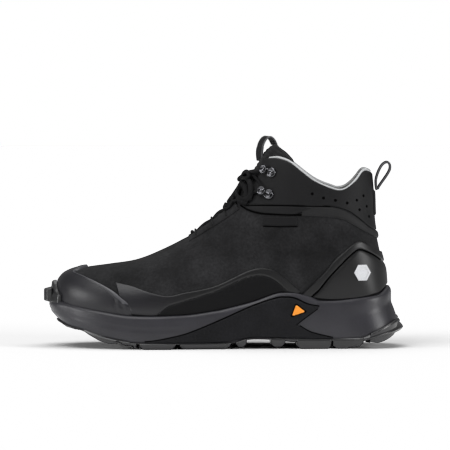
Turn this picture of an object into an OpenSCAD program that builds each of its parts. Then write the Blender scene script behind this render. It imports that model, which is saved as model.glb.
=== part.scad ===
// Mid-cut hiking boot, left foot. Toe along -X, outer side along -Y, ground at z = 0, millimetres.

/* [Upper] */
// Thickness of the outer shell of the upper
shell_t = 2.4; // [1.8:0.1:3]
// Thickness of the inner bootie
liner_t = 0.9; // [0.6:0.1:1.5]
// Free gap between neighbouring layers
gap = 0.4; // [0.2:0.05:0.6]
// Thickness of the moulded overlays
overlay_t = 1.4; // [1:0.1:2.2]
// Foam thickness round the ankle
padding_t = 3.6; // [2:0.2:6]
// Angle at which the shell is turned in under the foot
margin_a = 20; // [10:1:30]
// Radius of the rolled edge of the collar
piping_r = 1.4; // [1:0.1:2]

/* [Tongue and lacing] */
// Padded thickness of the tongue
tongue_t = 5; // [4:0.5:8]
// Radius of the lace
lace_r = 1.5; // [1.2:0.1:2]
// Width of the pull webbing
webbing_w = 13; // [10:1:16]
// Thickness of the pull webbing
webbing_t = 1.3; // [1:0.1:2]
// Radius of a speed hook's rivet
rivet_r = 4.3; // [3.5:0.1:5]
// Radius of a speed hook's head
head_r = 3.4; // [3:0.1:4.5]
// Height of a speed hook's head above its plate
head_lift = 3; // [2:0.2:5]

/* [Sole] */
// Width of the midsole rim beyond the upper
rim_w = 3.4; // [2:0.2:5]
// Bulge of the midsole wall beyond the upper
wall_w = 4.6; // [3:0.2:6]
// Extra flare of the sole at the back of the heel
heel_flare = 10.7; // [6:0.2:14]
// Share by which a lug narrows towards the ground
lug_draft = 0.12; // [0:0.02:0.25]
// Thickness of the side plates on the midsole
plate_t = 1.3; // [0.8:0.1:2]
// Thickness of the loose footbed
footbed_t = 4.5; // [3:0.5:7]

/* [Hidden] */
// Cross sections from toe to collar: top x, top z, base x, base z, centre y, outer half width,
// inner half width, height share of the widest place, base roundness, top roundness
SECTIONS = [
  [-140.5, 52, -140.5, 37.5, 2, 0.05, 0.05, 0.4, 0.6, 0.8],
  [-139, 56.4, -139, 34, 2.2, 12, 12, 0.4, 0.45, 0.75],
  [-134.5, 61.3, -135, 30, 2.8, 21.5, 20.5, 0.4, 0.36, 0.72],
  [-126, 64.9, -127, 27, 3.5, 31, 28.5, 0.38, 0.3, 0.72],
  [-113, 67.3, -114, 25, 4, 40, 36, 0.34, 0.28, 0.74],
  [-96, 69.6, -97, 23, 4, 47, 42, 0.3, 0.28, 0.78],
  [-73.5, 73.3, -74, 21, 3.5, 52, 45, 0.27, 0.28, 0.84],
  [-52, 81.8, -50, 20, 2.5, 51.5, 45, 0.25, 0.28, 0.92],
  [-30, 93.3, -24, 20, 2, 47.5, 42, 0.24, 0.28, 0.98],
  [-11, 107.5, 4, 21, 1.5, 43, 38.5, 0.24, 0.28, 0.98],
  [2.5, 119.5, 36, 23, 1, 39.5, 36, 0.25, 0.3, 0.94],
  [12, 131.5, 72, 25, 0.6, 37.5, 35, 0.27, 0.33, 0.88],
  [19.5, 142.5, 108, 25.5, 0.3, 36.5, 35, 0.29, 0.42, 0.84],
  [25, 150.5, 134.8, 30, 0, 36, 35, 0.31, 0.7, 0.82],
  [29, 157, 137, 60, 0, 35.5, 35, 0.34, 0.95, 0.82],
  [32.5, 163.5, 131.6, 85, 0, 34.5, 34.5, 0.38, 0.92, 0.84],
  [37.5, 169, 127.6, 108, 0, 33.5, 33.5, 0.42, 0.9, 0.86],
  [43, 173.5, 126.6, 130, 0, 33.5, 33.5, 0.46, 0.9, 0.88],
  [49, 177, 124.6, 152, 0, 33.5, 33.5, 0.5, 0.9, 0.9]
];
// Upper edge of the midsole along the boot
FEATHER = [[-142, 41], [-131, 37.4], [-116, 34], [-101.6, 31.5], [-82, 28.5], [-62.5, 27.7], [-47, 28],
  [-28, 29], [-7, 32], [0, 33.3], [24, 39.3], [43, 46], [52, 47], [62, 46.5], [75, 43], [81, 40.5],
  [95.6, 40.5], [113.5, 42.5], [128, 44.5], [133, 47], [137, 51], [142, 52.7]];
// Line between midsole and outsole
PARTING = [[-152, 30], [-146, 27.5], [-140, 22.6], [-130, 18.8], [-118, 15.4], [-110, 12.6], [-100, 9.8],
  [-90, 7.8], [-72, 6.4], [0, 6.4], [20, 10], [40, 10], [60, 9], [90, 9], [116, 10.5], [120, 12.8],
  [135, 19.5], [148, 26.4], [154, 28]];
// Underside of the outsole web between the lugs
WEB = [[-152, 26], [-146, 24], [-136, 17.5], [-120, 13.5], [-105, 8.5], [-90, 5.2], [-72, 4.4],
  [0, 4.4], [20, 8], [40, 8], [60, 6], [90, 6], [116, 7], [125, 9.5], [140, 16], [154, 21]];
// Lowest line of the tread with toe and heel spring
TREAD = [[-150, 21], [-141, 16], [-130, 12.2], [-120, 9.5], [-110, 5.6], [-100, 2.6], [-88, 0.8], [-79, 0],
  [91, 0], [100, 1.2], [112, 2.6], [134, 4.5], [143.7, 9.4], [150, 15]];
// Extra room between the midsole cup and the upper, and under the parting line
cup_gap = 0.6;
wrap_gap = 0.75;
panel_gap = 0.6;
part_gap = 0.8;
// Depth at which the lugs start below the web
lug_gap = 0.9;
// Plan outline of the tread, outer and inner side
TREAD_OUT = [[-146, -6], [-138, -22], [-125, -35], [-105, -46], [-85, -52.5], [-55, -54], [-25, -50.5],
  [5, -45.5], [35, -42], [65, -40.5], [95, -40], [118, -37], [135, -27], [147, -10]];
TREAD_IN = [[-146, 8], [-138, 23], [-125, 34], [-105, 44.5], [-85, 50.5], [-55, 52], [-25, 48], [5, 42],
  [35, 38.5], [65, 38], [95, 38], [118, 35], [135, 26], [147, 10]];
// Rim of the collar, from the throat to the top of the heel
RIM = [[22, 158.5], [41, 161], [47, 161], [55, 158], [62, 152.7], [69.4, 146.8], [76.8, 141.6], [84, 138],
  [90.5, 135.7], [96.5, 133.8], [103, 134.6], [109, 138.6], [114, 144], [119, 150], [124, 149.5],
  [129, 146]];
// Back edge of the toe cap as a cross section number for each angle up the flank
CAP_EDGE = [[0, 5.85], [68, 5.85], [88, 5.45], [98, 5.1], [108, 4.6], [122, 3.9], [140, 3.15], [152, 3.05],
  [165, 3.4], [180, 3.85]];
// Heel cup, from the back centre to its front tip: upper and lower edge
CUP_TOP = [[134.9, 78.5], [128, 82.5], [120, 88], [112.6, 90], [100, 80.5], [92.7, 73.7], [85, 64],
  [69, 48.5]];
CUP_LOW = [[137.6, 53.6], [131, 47.2], [122, 44.6], [113, 43.2], [103, 42.2], [95, 41.6], [84, 42.2],
  [67, 46.6]];
// Ankle band, from the back centre to the front: upper and lower edge
BAND_TOP = [[129, 98], [123.5, 100.6], [114, 108.5], [103, 115.6], [95, 118.6], [84.6, 120], [74, 120.2],
  [66, 120]];
BAND_LOW = [[129.6, 92.5], [125, 95], [116.4, 99.8], [103, 107.7], [96, 109.8], [88.8, 110.8], [76, 111.4],
  [66, 111.8]];
// Collar panel, from the back centre to the throat: lower edge
PANEL_LOW = [[128.9, 99], [123.5, 101.8], [114, 109.6], [103, 116.8], [85, 121.2], [66, 121], [59, 113],
  [42, 113.4], [31, 114.2], [21.7, 116.6], [15.5, 121]];
PANEL_TOP = [[127.6, 142], [123.5, 147], [118, 147.4], [111, 139], [98, 132.4], [78, 139.2], [66, 147.6],
  [56, 155], [46, 158.6], [38, 158.6], [34.5, 157.5]];
// Places along the boot at which the sole outlines are sampled
SOLE_S = [0.06, 0.3, 0.65, 1.1, 1.7, 2.5, 3.4, 4.4, 5.4, 6.4, 7.4, 8.4, 9.4, 10.4, 11.2, 11.8, 12.3, 12.7,
  13.0, 13.2, 13.35, 13.48, 13.58, 13.65, 13.7];
// Throat of the upper: cross section number and edge angle
THROAT = [[8, 171], [9, 167], [10, 165], [11, 162], [12, 160], [14, 158], [18, 157]];
// Stations of the webbing lace keepers
KEEPERS = [8.35, 9.1, 9.85];
// Speed hooks: rivet x, rivet z, head x, head z
HOOKS = [[38.5, 129.5, 31.2, 133.4], [41.1, 147.9, 34, 151.6]];
// Stations at which the layers of the upper are sampled
VAMP_S = [0, 0.06, 0.3, 0.65, 1.1, 1.7, 2.5, 3.4, 4.4, 5.4, 6.4, 7.4, 8];
QUARTER_S = [8.03, 8.4, 9.4, 10.4, 11.2, 11.8, 12.3, 12.7, 13.0, 13.35, 13.7, 14.2, 14.8];
BOOTIE_S = [0.3, 0.65, 1.1, 1.7, 2.5, 3.4, 4.4, 5.4, 6.4, 7.4, 8];
// Steps from the last quarter station to the rim, and how far the layers stop below it
rim_steps = 4;
rim_drop = 2.4;
// Angle at which the two quarters stop at the heel seam
q_back = 0.6;

function mix(a, b, t) = a + (b - a) * t;
function ease(t) = let (c = min(max(t, 0), 1)) c * c * (3 - 2 * c);
function path_at(p, t) = let (c = min(max(t, 0), 0.9999) * (len(p) - 1), i = floor(c))
  mix(p[i], p[i + 1], c - i);
function row(s) = let (c = min(max(s, 0), len(SECTIONS) - 1.001), i = floor(c), t = c - i,
  a = SECTIONS[max(i - 1, 0)], b = SECTIONS[i], e = SECTIONS[i + 1],
  g = SECTIONS[min(i + 2, len(SECTIONS) - 1)])
  b + 0.5 * t * ((e - a) + t * ((2 * a - 5 * b + 4 * e - g) + t * (3 * b - a - 3 * e + g)));
// Point of the outer surface at section s and angle q: 0 base, 90 widest outside, 180 top, 270 inside
function skin(s, q) = let (r = row(s), c = -cos(q), f = c < 0 ? r[7] * (1 + c) : r[7] + (1 - r[7]) * c,
  w = sin(q) >= 0 ? -max(r[5], 0.05) : max(r[6], 0.05), h = pow(abs(sin(q)), c < 0 ? r[8] : r[9]))
  [mix(r[2], r[0], f), r[4] + w * h, mix(r[3], r[1], f)];
function normal(s, q) = let (a = skin(s + 0.02, q) - skin(max(s - 0.02, 0), q),
  b = skin(s, q + 0.6) - skin(s, q - 0.6), n = cross(a, b)) n / norm(n);
function at(s, q, d) = skin(s, q) + d * normal(s, q);
// Section number and angle of a place seen from the side
function find_s(p, lo, hi, n) = let (m = (lo + hi) / 2, r = row(m))
  n == 0 ? m :
  (p[0] - r[2]) * (r[1] - r[3]) - (p[1] - r[3]) * (r[0] - r[2]) > 0 ? find_s(p, m, hi, n - 1)
  : find_s(p, lo, m, n - 1);
function find_q(p, s) = let (r = row(s), b = [r[2], r[3]], t = [r[0], r[1]] - b,
  f = min(max(((p - b) * t) / (t * t), 0), 1), a = f < r[7] ? (f - r[7]) / r[7] : (f - r[7]) / (1 - r[7]))
  acos(-a);
function find(p) = let (s = find_s(p, 0, 17.99, 15)) [s, find_q(p, s)];
function on_side(p, d, side) = let (f = find(p)) at(f[0], side * f[1], d);
// Angle at which section s crosses the upper edge of the midsole
function feather_q(s, lo = 0, hi = 90, n = 14) = let (m = (lo + hi) / 2, p = skin(s, m))
  n == 0 ? m : p[2] > lookup(p[0], FEATHER) ? feather_q(s, lo, m, n - 1) : feather_q(s, m, hi, n - 1);
function throat_q(s) = lookup(s, THROAT);
function low_q(s) = mix(margin_a, q_back, ease((s - 11.6) / 1.4));
// Section number at which a line of constant share v meets the collar rim
function rim_s(v, drop, lo = 13, hi = 17.99, n = 13) = let (m = (lo + hi) / 2,
  p = skin(m, mix(low_q(m), throat_q(m), v)))
  n == 0 ? m : p[2] > lookup(p[0], RIM) - drop ? rim_s(v, drop, lo, m, n - 1) : rim_s(v, drop, m, hi, n - 1);

// Closed shell between an outer and an inner grid of points
module shell(outer, inner, nu, nv, flip = false) {
  n = (nu + 1) * (nv + 1);
  m = nv + 1;
  points = concat([for (i = [0:nu]) for (j = [0:nv]) outer(i / nu, j / nv)],
    [for (i = [0:nu]) for (j = [0:nv]) inner(i / nu, j / nv)]);
  quads = concat(
    [for (i = [0:nu - 1]) for (j = [0:nv - 1])
      [i * m + j, i * m + j + 1, (i + 1) * m + j + 1, (i + 1) * m + j]],
    [for (i = [0:nu - 1]) for (j = [0:nv - 1])
      [n + i * m + j, n + (i + 1) * m + j, n + (i + 1) * m + j + 1, n + i * m + j + 1]],
    [for (i = [0:nu - 1]) [i * m, (i + 1) * m, n + (i + 1) * m, n + i * m]],
    [for (i = [0:nu - 1]) [i * m + nv, n + i * m + nv, n + (i + 1) * m + nv, (i + 1) * m + nv]],
    [for (j = [0:nv - 1]) [j, n + j, n + j + 1, j + 1]],
    [for (j = [0:nv - 1]) [nu * m + j, nu * m + j + 1, n + nu * m + j + 1, n + nu * m + j]]);
  faceted(points, quads, flip);
}

module faceted(points, quads, flip = false) {
  split = [for (q = quads) each [[q[0], q[1], q[2]], [q[0], q[2], q[3]]]];
  polyhedron(points, flip ? [for (t = split) [t[0], t[2], t[1]]] : split, convexity = 6);
}

// Solid from closed loops, listed from the middle of the top face over the rim to the middle of the base
module rings(loops) {
  n = len(loops[0]);
  k = len(loops);
  points = [for (l = loops) each l];
  half = n / 2;
  quads = concat(
    [for (a = [0:k - 2]) for (i = [0:n - 1]) let (j = (i + 1) % n)
      [a * n + i, a * n + j, (a + 1) * n + j, (a + 1) * n + i]],
    [for (i = [0:half - 2]) [i, n - 1 - i, n - 2 - i, i + 1]],
    [for (i = [0:half - 2]) let (b = (k - 1) * n) [b + i, b + i + 1, b + n - 2 - i, b + n - 1 - i]]);
  faceted(points, quads);
}

// Round cord along a path
module cord(path, r, sides = 8) {
  n = len(path);
  points = [for (i = [0:n - 1]) let (t = path[min(i + 1, n - 1)] - path[max(i - 1, 0)], w = t / norm(t),
    a = cross(w, abs(w[1]) < 0.8 ? [0, 1, 0] : [0, 0, 1]), u = a / norm(a), v = cross(w, u))
    for (j = [0:sides - 1]) path[i] + r * (u * cos(j * 360 / sides) + v * sin(j * 360 / sides))];
  polyhedron(points, concat(
    [for (i = [0:n - 2]) for (j = [0:sides - 1]) let (b = i * sides, e = (j + 1) % sides)
      each [[b + j, b + sides + j, b + sides + e], [b + j, b + sides + e, b + e]]],
    [[for (j = [0:sides - 1]) j]], [[for (j = [sides - 1:-1:0]) (n - 1) * sides + j]]), convexity = 6);
}

// Flat webbing along a path in the XZ plane
module webbing(path, w, t) {
  n = len(path);
  side = [for (i = [0:n - 1]) let (d = path[min(i + 1, n - 1)] - path[max(i - 1, 0)])
    [-d[1], d[0]] / norm(d)];
  loops = [for (i = [0:n - 1]) let (a = path[i] + side[i] * t / 2, b = path[i] - side[i] * t / 2)
    each [[a[0], -w / 2, a[1]], [a[0], w / 2, a[1]], [b[0], w / 2, b[1]], [b[0], -w / 2, b[1]]]];
  polyhedron(loops, concat(
    [for (i = [0:n - 2]) for (j = [0:3]) let (b = i * 4, e = (j + 1) % 4)
      each [[b + j, b + e, b + 4 + e], [b + j, b + 4 + e, b + 4 + j]]],
    [[3, 2, 1, 0]], [[for (j = [0:3]) (n - 1) * 4 + j]]), convexity = 6);
}

// Place a child with +Z along the outward normal of the side surface
module on_surface(p, d, side) {
  f = find(p);
  n = normal(f[0], side * f[1]);
  translate(at(f[0], side * f[1], d))
    rotate([0, acos(n[2]), atan2(n[1], n[0])])
      children();
}

// Loop round the sole along the feather line: section and angle, point, outward direction in plan
OUTLINE = [for (s = SOLE_S) [s, feather_q(s)]];
LOOP = concat([for (o = OUTLINE) o], [for (i = [len(OUTLINE) - 1:-1:0]) [OUTLINE[i][0], -OUTLINE[i][1]]]);
LOOP_P = [for (o = LOOP) skin(o[0], o[1])];
LOOP_N = [for (o = LOOP) let (n = normal(o[0], o[1]), h = norm([n[0], n[1]])) [n[0] / h, n[1] / h, 0]];
function flare(x) = heel_flare * ease((x - 96) / 40);
// Rings of the sole: under the upper at share f, outside by k(x) at height z(x), inside at shares fx, fy
function low_ring(f, d) = [for (o = LOOP) at(o[0], o[1] * f, d)];
function out_ring(k, z) = [for (i = [0:len(LOOP) - 1]) let (p = LOOP_P[i] + k(LOOP_P[i][0]) * LOOP_N[i])
  [p[0], p[1], z(p[0])]];
function in_ring(fx, fy, z) = let (n = len(LOOP)) [for (i = [0:n - 1])
  let (p = LOOP_P[i], m = (p[1] + LOOP_P[n - 1 - i][1]) / 2, x = p[0] * fx) [x, m + (p[1] - m) * fy, z(x)]];

// Height on the midsole wall at share t from the feather line to the parting line
function wall_z(x, t) = mix(lookup(x, FEATHER), lookup(x, PARTING), t);
module midsole() {
  color([0.24, 0.24, 0.27])
    rings([each [for (f = [0.1, 0.25, 0.4, 0.55, 0.7, 0.85, 1]) low_ring(f, cup_gap)],
      out_ring(function (x) rim_w + 0.1 * flare(x), function (x) lookup(x, FEATHER) - 0.6),
      out_ring(function (x) wall_w + 0.02 * flare(x), function (x) wall_z(x, 0.4)),
      out_ring(function (x) wall_w + 0.46 * flare(x), function (x) wall_z(x, 0.8)),
      out_ring(function (x) rim_w + 0.68 * flare(x), function (x) lookup(x, PARTING)),
      in_ring(0.97, 0.6, function (x) lookup(x, PARTING)),
      in_ring(0.94, 0.05, function (x) lookup(x, PARTING))]);
}

module outsole() {
  color([0.13, 0.13, 0.15])
    rings([in_ring(0.94, 0.05, function (x) lookup(x, PARTING) - part_gap),
      in_ring(0.97, 0.6, function (x) lookup(x, PARTING) - part_gap),
      out_ring(function (x) rim_w + 0.68 * flare(x), function (x) lookup(x, PARTING) - part_gap),
      out_ring(function (x) wall_w + flare(x), function (x) mix(lookup(x, PARTING), lookup(x, WEB), 0.5)),
      out_ring(function (x) rim_w - 1 + flare(x), function (x) lookup(x, WEB)),
      in_ring(0.96, 0.6, function (x) lookup(x, WEB)),
      in_ring(0.93, 0.05, function (x) lookup(x, WEB))]);
}

// One lug: plan corners in order, narrowed towards the ground
module lug(corners, base = undef) {
  n = len(corners);
  c = [for (p = corners) 1] * corners / n;
  low = [for (p = corners) let (g = mix(p, c, lug_draft))
    [g[0], g[1], is_undef(base) ? lookup(g[0], TREAD) : base]];
  top = [for (p = corners) [p[0], p[1], lookup(p[0], WEB) - lug_gap]];
  polyhedron(concat(low, top), concat(
    [for (i = [1:n - 2]) [0, i + 1, i]],
    [for (i = [1:n - 2]) [n, n + i, n + i + 1]],
    [for (i = [0:n - 1]) let (j = (i + 1) % n) each [[i, n + j, n + i], [i, j, n + j]]]), convexity = 2);
}

// Edge lug between two stations, reaching inwards from the outline
module edge_lug(x0, x1, reach, side, slant, base = undef) {
  edge = side > 0 ? TREAD_OUT : TREAD_IN;
  a = [x0, lookup(x0, edge)];
  b = [x1, lookup(x1, edge)];
  c = [x1 - slant, b[1] + side * reach];
  d = [x0 + slant, a[1] + side * reach];
  lug(side > 0 ? [d, c, b, a] : [a, b, c, d], base);
}

// Two halves of an arrow-shaped lug with its tip towards the toe
module chevron(x, sweep, length, half, base = undef) {
  for (side = [1, -1]) {
    a = [x, side * 0.7];
    b = [x + sweep, side * half];
    c = [x + sweep + length, side * half];
    d = [x + length, side * 0.7];
    lug(side > 0 ? [a, b, c, d] : [a, d, c, b], base);
  }
}

module lugs_toe() {
  color([0.1, 0.1, 0.11]) {
    lug([[-137, -16], [-137, 18], [-126, 24], [-122, 3], [-126, -23]]);
    for (side = [1, -1]) edge_lug(-118, -91, 15, side, 2);
    chevron(-119, 4, 13, 19);
  }
}

module forefoot_lugs(side) {
  color([0.1, 0.1, 0.11]) {
    edge_lug(-88, -74, 17, side, 2);
    edge_lug(-71, -40, 18, side, 3, 0);
    edge_lug(-37, 5, 17, side, 2, 0);
    edge_lug(10, 19.5, 13, side, 1, 2.4);
  }
}

module lugs_outer() {
  forefoot_lugs(1);
}

module lugs_inner() {
  forefoot_lugs(-1);
}

module lugs_centre() {
  color([0.1, 0.1, 0.11])
    for (x = [-92, -68, -44, -20]) chevron(x - 4, 9, 12, 22, x < -80 ? undef : 0);
}

module lugs_heel() {
  color([0.1, 0.1, 0.11]) {
    for (side = [1, -1]) {
      edge_lug(40, 52, 13, side, 1, 2);
      edge_lug(62, 89, 17, side, 3, 0);
      edge_lug(93, 115, 16, side, 2);
      edge_lug(120, 143, 14, side, 3);
    }
    chevron(60, 8, 15, 14, 0);
    chevron(93, 7, 13, 13);
  }
}

// Arc of the outline round the toe, from outside to inside
TOE_ARC = [for (s = [1.9, 1.3, 0.8, 0.4, 0.1]) [s, feather_q(s)]];
function toe_arc(t) = let (a = abs(2 * t - 1) * 4, i = min(floor(a), 3),
  m = mix(TOE_ARC[4 - i], TOE_ARC[3 - i], a - i)) [m[0], t < 0.5 ? m[1] : -m[1]];
function toe_at(t, k, z) = let (o = toe_arc(t), p = skin(o[0], o[1]), n = normal(o[0], o[1]),
  h = norm([n[0], n[1]])) [p[0] + k * n[0] / h, p[1] + k * n[1] / h, z];

// Height on the toe bumper, lower and shorter towards its ends
function bumper_z(u, v) = let (e = abs(2 * u - 1)) mix(mix(27, 29, e), mix(56, 46, e), v);
module toe_bumper() {
  color([0.1, 0.1, 0.11])
    shell(function (u, v) toe_at(u, mix(7.6, 4.4, ease(v)), bumper_z(u, v)),
      function (u, v) toe_at(u, mix(wall_w + 0.5, overlay_t + 0.8, ease((v - 0.35) / 0.4)), bumper_z(u, v)),
      16, 6, true);
}

module toe_lugs() {
  color([0.1, 0.1, 0.11])
    for (c = [0.3, 0.5, 0.7])
      shell(function (u, v) toe_at(c + (u - 0.5) * 0.13, c == 0.5 ? 12.1 : 10.5, mix(39, 48.5, v)),
        function (u, v) toe_at(c + (u - 0.5) * 0.15, 8, mix(37.5, 50, v)), 2, 1, true);
}

// Side plate on the midsole wall between two edges
PLATE_TOP = [[-66, 9.4], [-57, 10.2], [-38, 14], [-24, 18], [0, 27], [24, 36], [43, 42], [52, 42.6],
  [60, 41.4], [72, 36.4], [77, 33.5]];
PLATE_LOW = [[-66, 8.3], [-57, 8.3], [-38, 8.5], [-24, 8.7], [0, 9], [24, 11.4], [43, 11.6], [52, 12],
  [60, 13], [68, 19], [76, 30]];
function wall_at(x, z, k, side) = let (s = find_s([x, lookup(x, FEATHER)], 0, 17.9, 14), q = feather_q(s),
  p = skin(s, side * q), n = normal(s, side * q), h = norm([n[0], n[1]]), t = (lookup(x, FEATHER) - z)
  / (lookup(x, FEATHER) - lookup(x, PARTING)),
  w = lookup(t, [[0, rim_w], [0.4, wall_w], [0.8, wall_w], [1, rim_w + 0.1]]) + 0.06 * max(x, 0) / 10)
  [p[0] + (w + k) * n[0] / h, p[1] + (w + k) * n[1] / h, z];

plate_gap = 0.8;
function plate_p(u, v) = mix(path_at(PLATE_LOW, u), path_at(PLATE_TOP, u), v);
module side_plate(side) {
  color([0.15, 0.15, 0.16])
    shell(function (u, v) let (p = plate_p(u, v)) wall_at(p[0], p[1], plate_gap + plate_t, side),
      function (u, v) let (p = plate_p(u, v)) wall_at(p[0], p[1], plate_gap, side), 16, 4, side < 0);
}

module plate_outer() {
  side_plate(1);
}

module plate_inner() {
  side_plate(-1);
}

// Three-cornered colour insert on each side plate
INSERT = [[57.3, 28.4], [60.9, 37], [68.7, 31.5]];
insert_t = 0.7;
function insert_p(u, v) = mix(INSERT[0], mix(INSERT[1], INSERT[2], v), u);
module inserts() {
  base = plate_gap + plate_t + 0.3;
  color([0.95, 0.55, 0.12])
    for (side = [1, -1])
      shell(function (u, v) let (p = insert_p(u, v)) wall_at(p[0], p[1], base + insert_t, side),
        function (u, v) let (p = insert_p(u, v)) wall_at(p[0], p[1], base, side), 4, 3, side > 0);
}

// Flat layer inside the boot: outline shares and heights above the base line
BASE = [[-141, 34], [-135, 30], [-127, 27], [-114, 25], [-97, 23], [-74, 21], [-50, 20], [-24, 20],
  [4, 21], [36, 23], [72, 25], [108, 26], [136, 28]];
module layer(fx, fy, z0, z1) {
  rings([in_ring(fx - 0.06, 0.05, function (x) lookup(x, BASE) + z1),
    in_ring(fx - 0.02, fy - 0.25, function (x) lookup(x, BASE) + z1),
    in_ring(fx, fy, function (x) lookup(x, BASE) + z1),
    in_ring(fx, fy, function (x) lookup(x, BASE) + z0),
    in_ring(fx - 0.02, fy - 0.25, function (x) lookup(x, BASE) + z0),
    in_ring(fx - 0.06, 0.05, function (x) lookup(x, BASE) + z0)]);
}

module lasting_board() {
  color([0.75, 0.72, 0.65])
    layer(0.88, 0.64, 4.4, 6);
}

module footbed() {
  color([0.35, 0.36, 0.38])
    layer(0.89, 0.7, 6.8, 6.8 + footbed_t);
}

module vamp() {
  color([0.13, 0.13, 0.14])
    shell(function (u, v) at(path_at(VAMP_S, u), mix(margin_a, 360 - margin_a, v), 0),
      function (u, v) at(path_at(VAMP_S, u), mix(margin_a, 360 - margin_a, v), -shell_t), 12, 26);
}

// Layer of the quarter between two depths, from the vamp to the collar
module quarter_layer(d0, d1, side, nv, drop) {
  k = len(QUARTER_S) - 1;
  nu = k + rim_steps;
  function spot(u, v, d) = let (i = u * nu, s = i < k ? path_at(QUARTER_S, i / k)
    : mix(QUARTER_S[k], rim_s(v, drop), (i - k) / rim_steps))
    at(s, side * mix(low_q(s), throat_q(s), v), d(s, v));
  shell(function (u, v) spot(u, v, d0), function (u, v) spot(u, v, d1), nu, nv, side < 0);
}

module quarter_outer() {
  color([0.12, 0.12, 0.13])
    quarter_layer(function (s, v) 0, function (s, v) -shell_t, 1, 16, rim_drop);
}

module quarter_inner() {
  color([0.12, 0.12, 0.13])
    quarter_layer(function (s, v) 0, function (s, v) -shell_t, -1, 16, rim_drop);
}

// Share of the ankle padding at a place of the quarter
function pad(s, v) = ease((s - 13.6) / 1.6) * ease((0.74 - v) / 0.14);
module bootie() {
  d = -shell_t - gap;
  low = margin_a + 10;
  color([0.3, 0.3, 0.31]) {
    shell(function (u, v) at(path_at(BOOTIE_S, u), mix(low, 360 - low, v), d),
      function (u, v) at(path_at(BOOTIE_S, u), mix(low, 360 - low, v), d - liner_t), 10, 20);
    for (side = [1, -1])
      quarter_layer(function (s, v) d - (padding_t + gap) * pad(s, v),
        function (s, v) d - liner_t - (padding_t + gap) * pad(s, v), side, 14, rim_drop);
  }
}

module collar_padding() {
  function spot(u, v, side, d) = let (w = mix(0.02, 0.58, v), s = mix(15.25, rim_s(w, rim_drop), u))
    at(s, side * mix(low_q(s), throat_q(s), w), d);
  color([0.45, 0.45, 0.4])
    for (side = [1, -1])
      shell(function (u, v) spot(u, v, side, -shell_t - gap),
        function (u, v) spot(u, v, side, -shell_t - gap - padding_t + 0.7), 4, 8, side < 0);
}

// Rolled edge along the rim from the outer to the inner end of the throat
rim_n = 14;
function rim_point(i) = let (v = 0.99 * abs(i) / rim_n, s = rim_s(v, 0.1), q = mix(low_q(s), throat_q(s), v))
  at(s, i < 0 ? q : -q, -shell_t / 2);
module collar_piping() {
  color([0.62, 0.63, 0.65])
    cord([for (i = [-rim_n:rim_n]) rim_point(i)], piping_r);
}

// Toe cap from the outer to the inner feather line; its back edge follows CAP_EDGE
cap_low = 38;
module toe_cap() {
  function spot(u, v, d) = let (w = 1 - abs(2 * v - 1), q = mix(cap_low, 180, w), c = lookup(q, CAP_EDGE),
    s = mix(0.02, c, pow(u, 1.3)), e = max(q, mix(feather_q(s) + 1.5, 180, w)))
    at(s, v > 0.5 ? 360 - e : e, d);
  color([0.22, 0.22, 0.25])
    shell(function (u, v) spot(u, v, gap + overlay_t), function (u, v) spot(u, v, gap), 12, 24);
}

// Overlay between two edges given from the side, both from back to front or front to back
module edge_layer(low, top, d0, d1, side, nu, nv, flip) {
  function spot(u, v, d) = let (a = find(path_at(low, u)), b = find(path_at(top, u)), m = mix(a, b, v))
    at(m[0], side * m[1], d);
  shell(function (u, v) spot(u, v, d1), function (u, v) spot(u, v, d0), nu, nv, flip);
}

OVERLAY_LOW = [[-72, 28.9], [-64, 28.6], [-56, 28.6], [-42, 29], [-24, 30.2], [-2, 33.8], [22, 39.6],
  [36, 44.4], [49, 48.2], [62, 47.5]];
OVERLAY_TOP = [[-85, 54.4], [-76, 52.8], [-62.5, 48], [-47, 44.9], [-32.7, 47.6], [-7, 53], [22, 66],
  [36, 67.4], [48, 62], [62.5, 49.5]];
module overlay_outer() {
  color([0.16, 0.16, 0.17])
    edge_layer(OVERLAY_LOW, OVERLAY_TOP, gap, gap + overlay_t, 1, 18, 4, false);
}

module overlay_inner() {
  color([0.16, 0.16, 0.17])
    edge_layer(OVERLAY_LOW, OVERLAY_TOP, gap, gap + overlay_t, -1, 18, 4, true);
}

// Band that runs round the heel on both sides of the back seam
module heel_wrap(low, top, d0, d1, nu, nv) {
  function edge(p, t) = let (f = find(path_at(p, abs(t)))) t < 0 ? [f[0], -f[1]] : f;
  function spot(u, v, d) = let (t = 2 * u - 1, m = mix(edge(low, t), edge(top, t), v))
    at(m[0], abs(t) < 0.001 ? 0 : m[1], d);
  shell(function (u, v) spot(u, v, d1), function (u, v) spot(u, v, d0), nu, nv, true);
}

module heel_cup() {
  color([0.25, 0.25, 0.28])
    heel_wrap(CUP_LOW, CUP_TOP, wrap_gap, wrap_gap + overlay_t, 32, 6);
}

module ankle_band() {
  color([0.14, 0.14, 0.15])
    heel_wrap(BAND_LOW, BAND_TOP, wrap_gap, wrap_gap + overlay_t + 0.4, 28, 4);
}

panel_t = 1.1;
module collar_panel(side) {
  color([0.17, 0.17, 0.18])
    edge_layer(PANEL_LOW, PANEL_TOP, panel_gap, panel_gap + panel_t, side, 20, 5, side > 0);
}

module collar_outer() {
  collar_panel(1);
}

module collar_inner() {
  collar_panel(-1);
}

// Plain label on each side: front lower and back upper corner
LABEL = [[34, 103.4], [62, 110.6]];
label_t = 0.8;
module side_labels() {
  function spot(u, v, side, d) = let (x = mix(LABEL[0][0], LABEL[1][0], u),
    z = mix(LABEL[0][1], LABEL[1][1], v)) on_side([x, z], d, side);
  color([0.2, 0.2, 0.21])
    for (side = [1, -1])
      shell(function (u, v) spot(u, v, side, gap + label_t), function (u, v) spot(u, v, side, gap),
        5, 2, side < 0);
}

module heel_badge() {
  color([0.55, 0.56, 0.58])
    on_surface([116.5, 64], overlay_t + wrap_gap + 0.6, 1)
      linear_extrude(0.8)
        circle(r = 8, $fn = 6);
}

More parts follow.
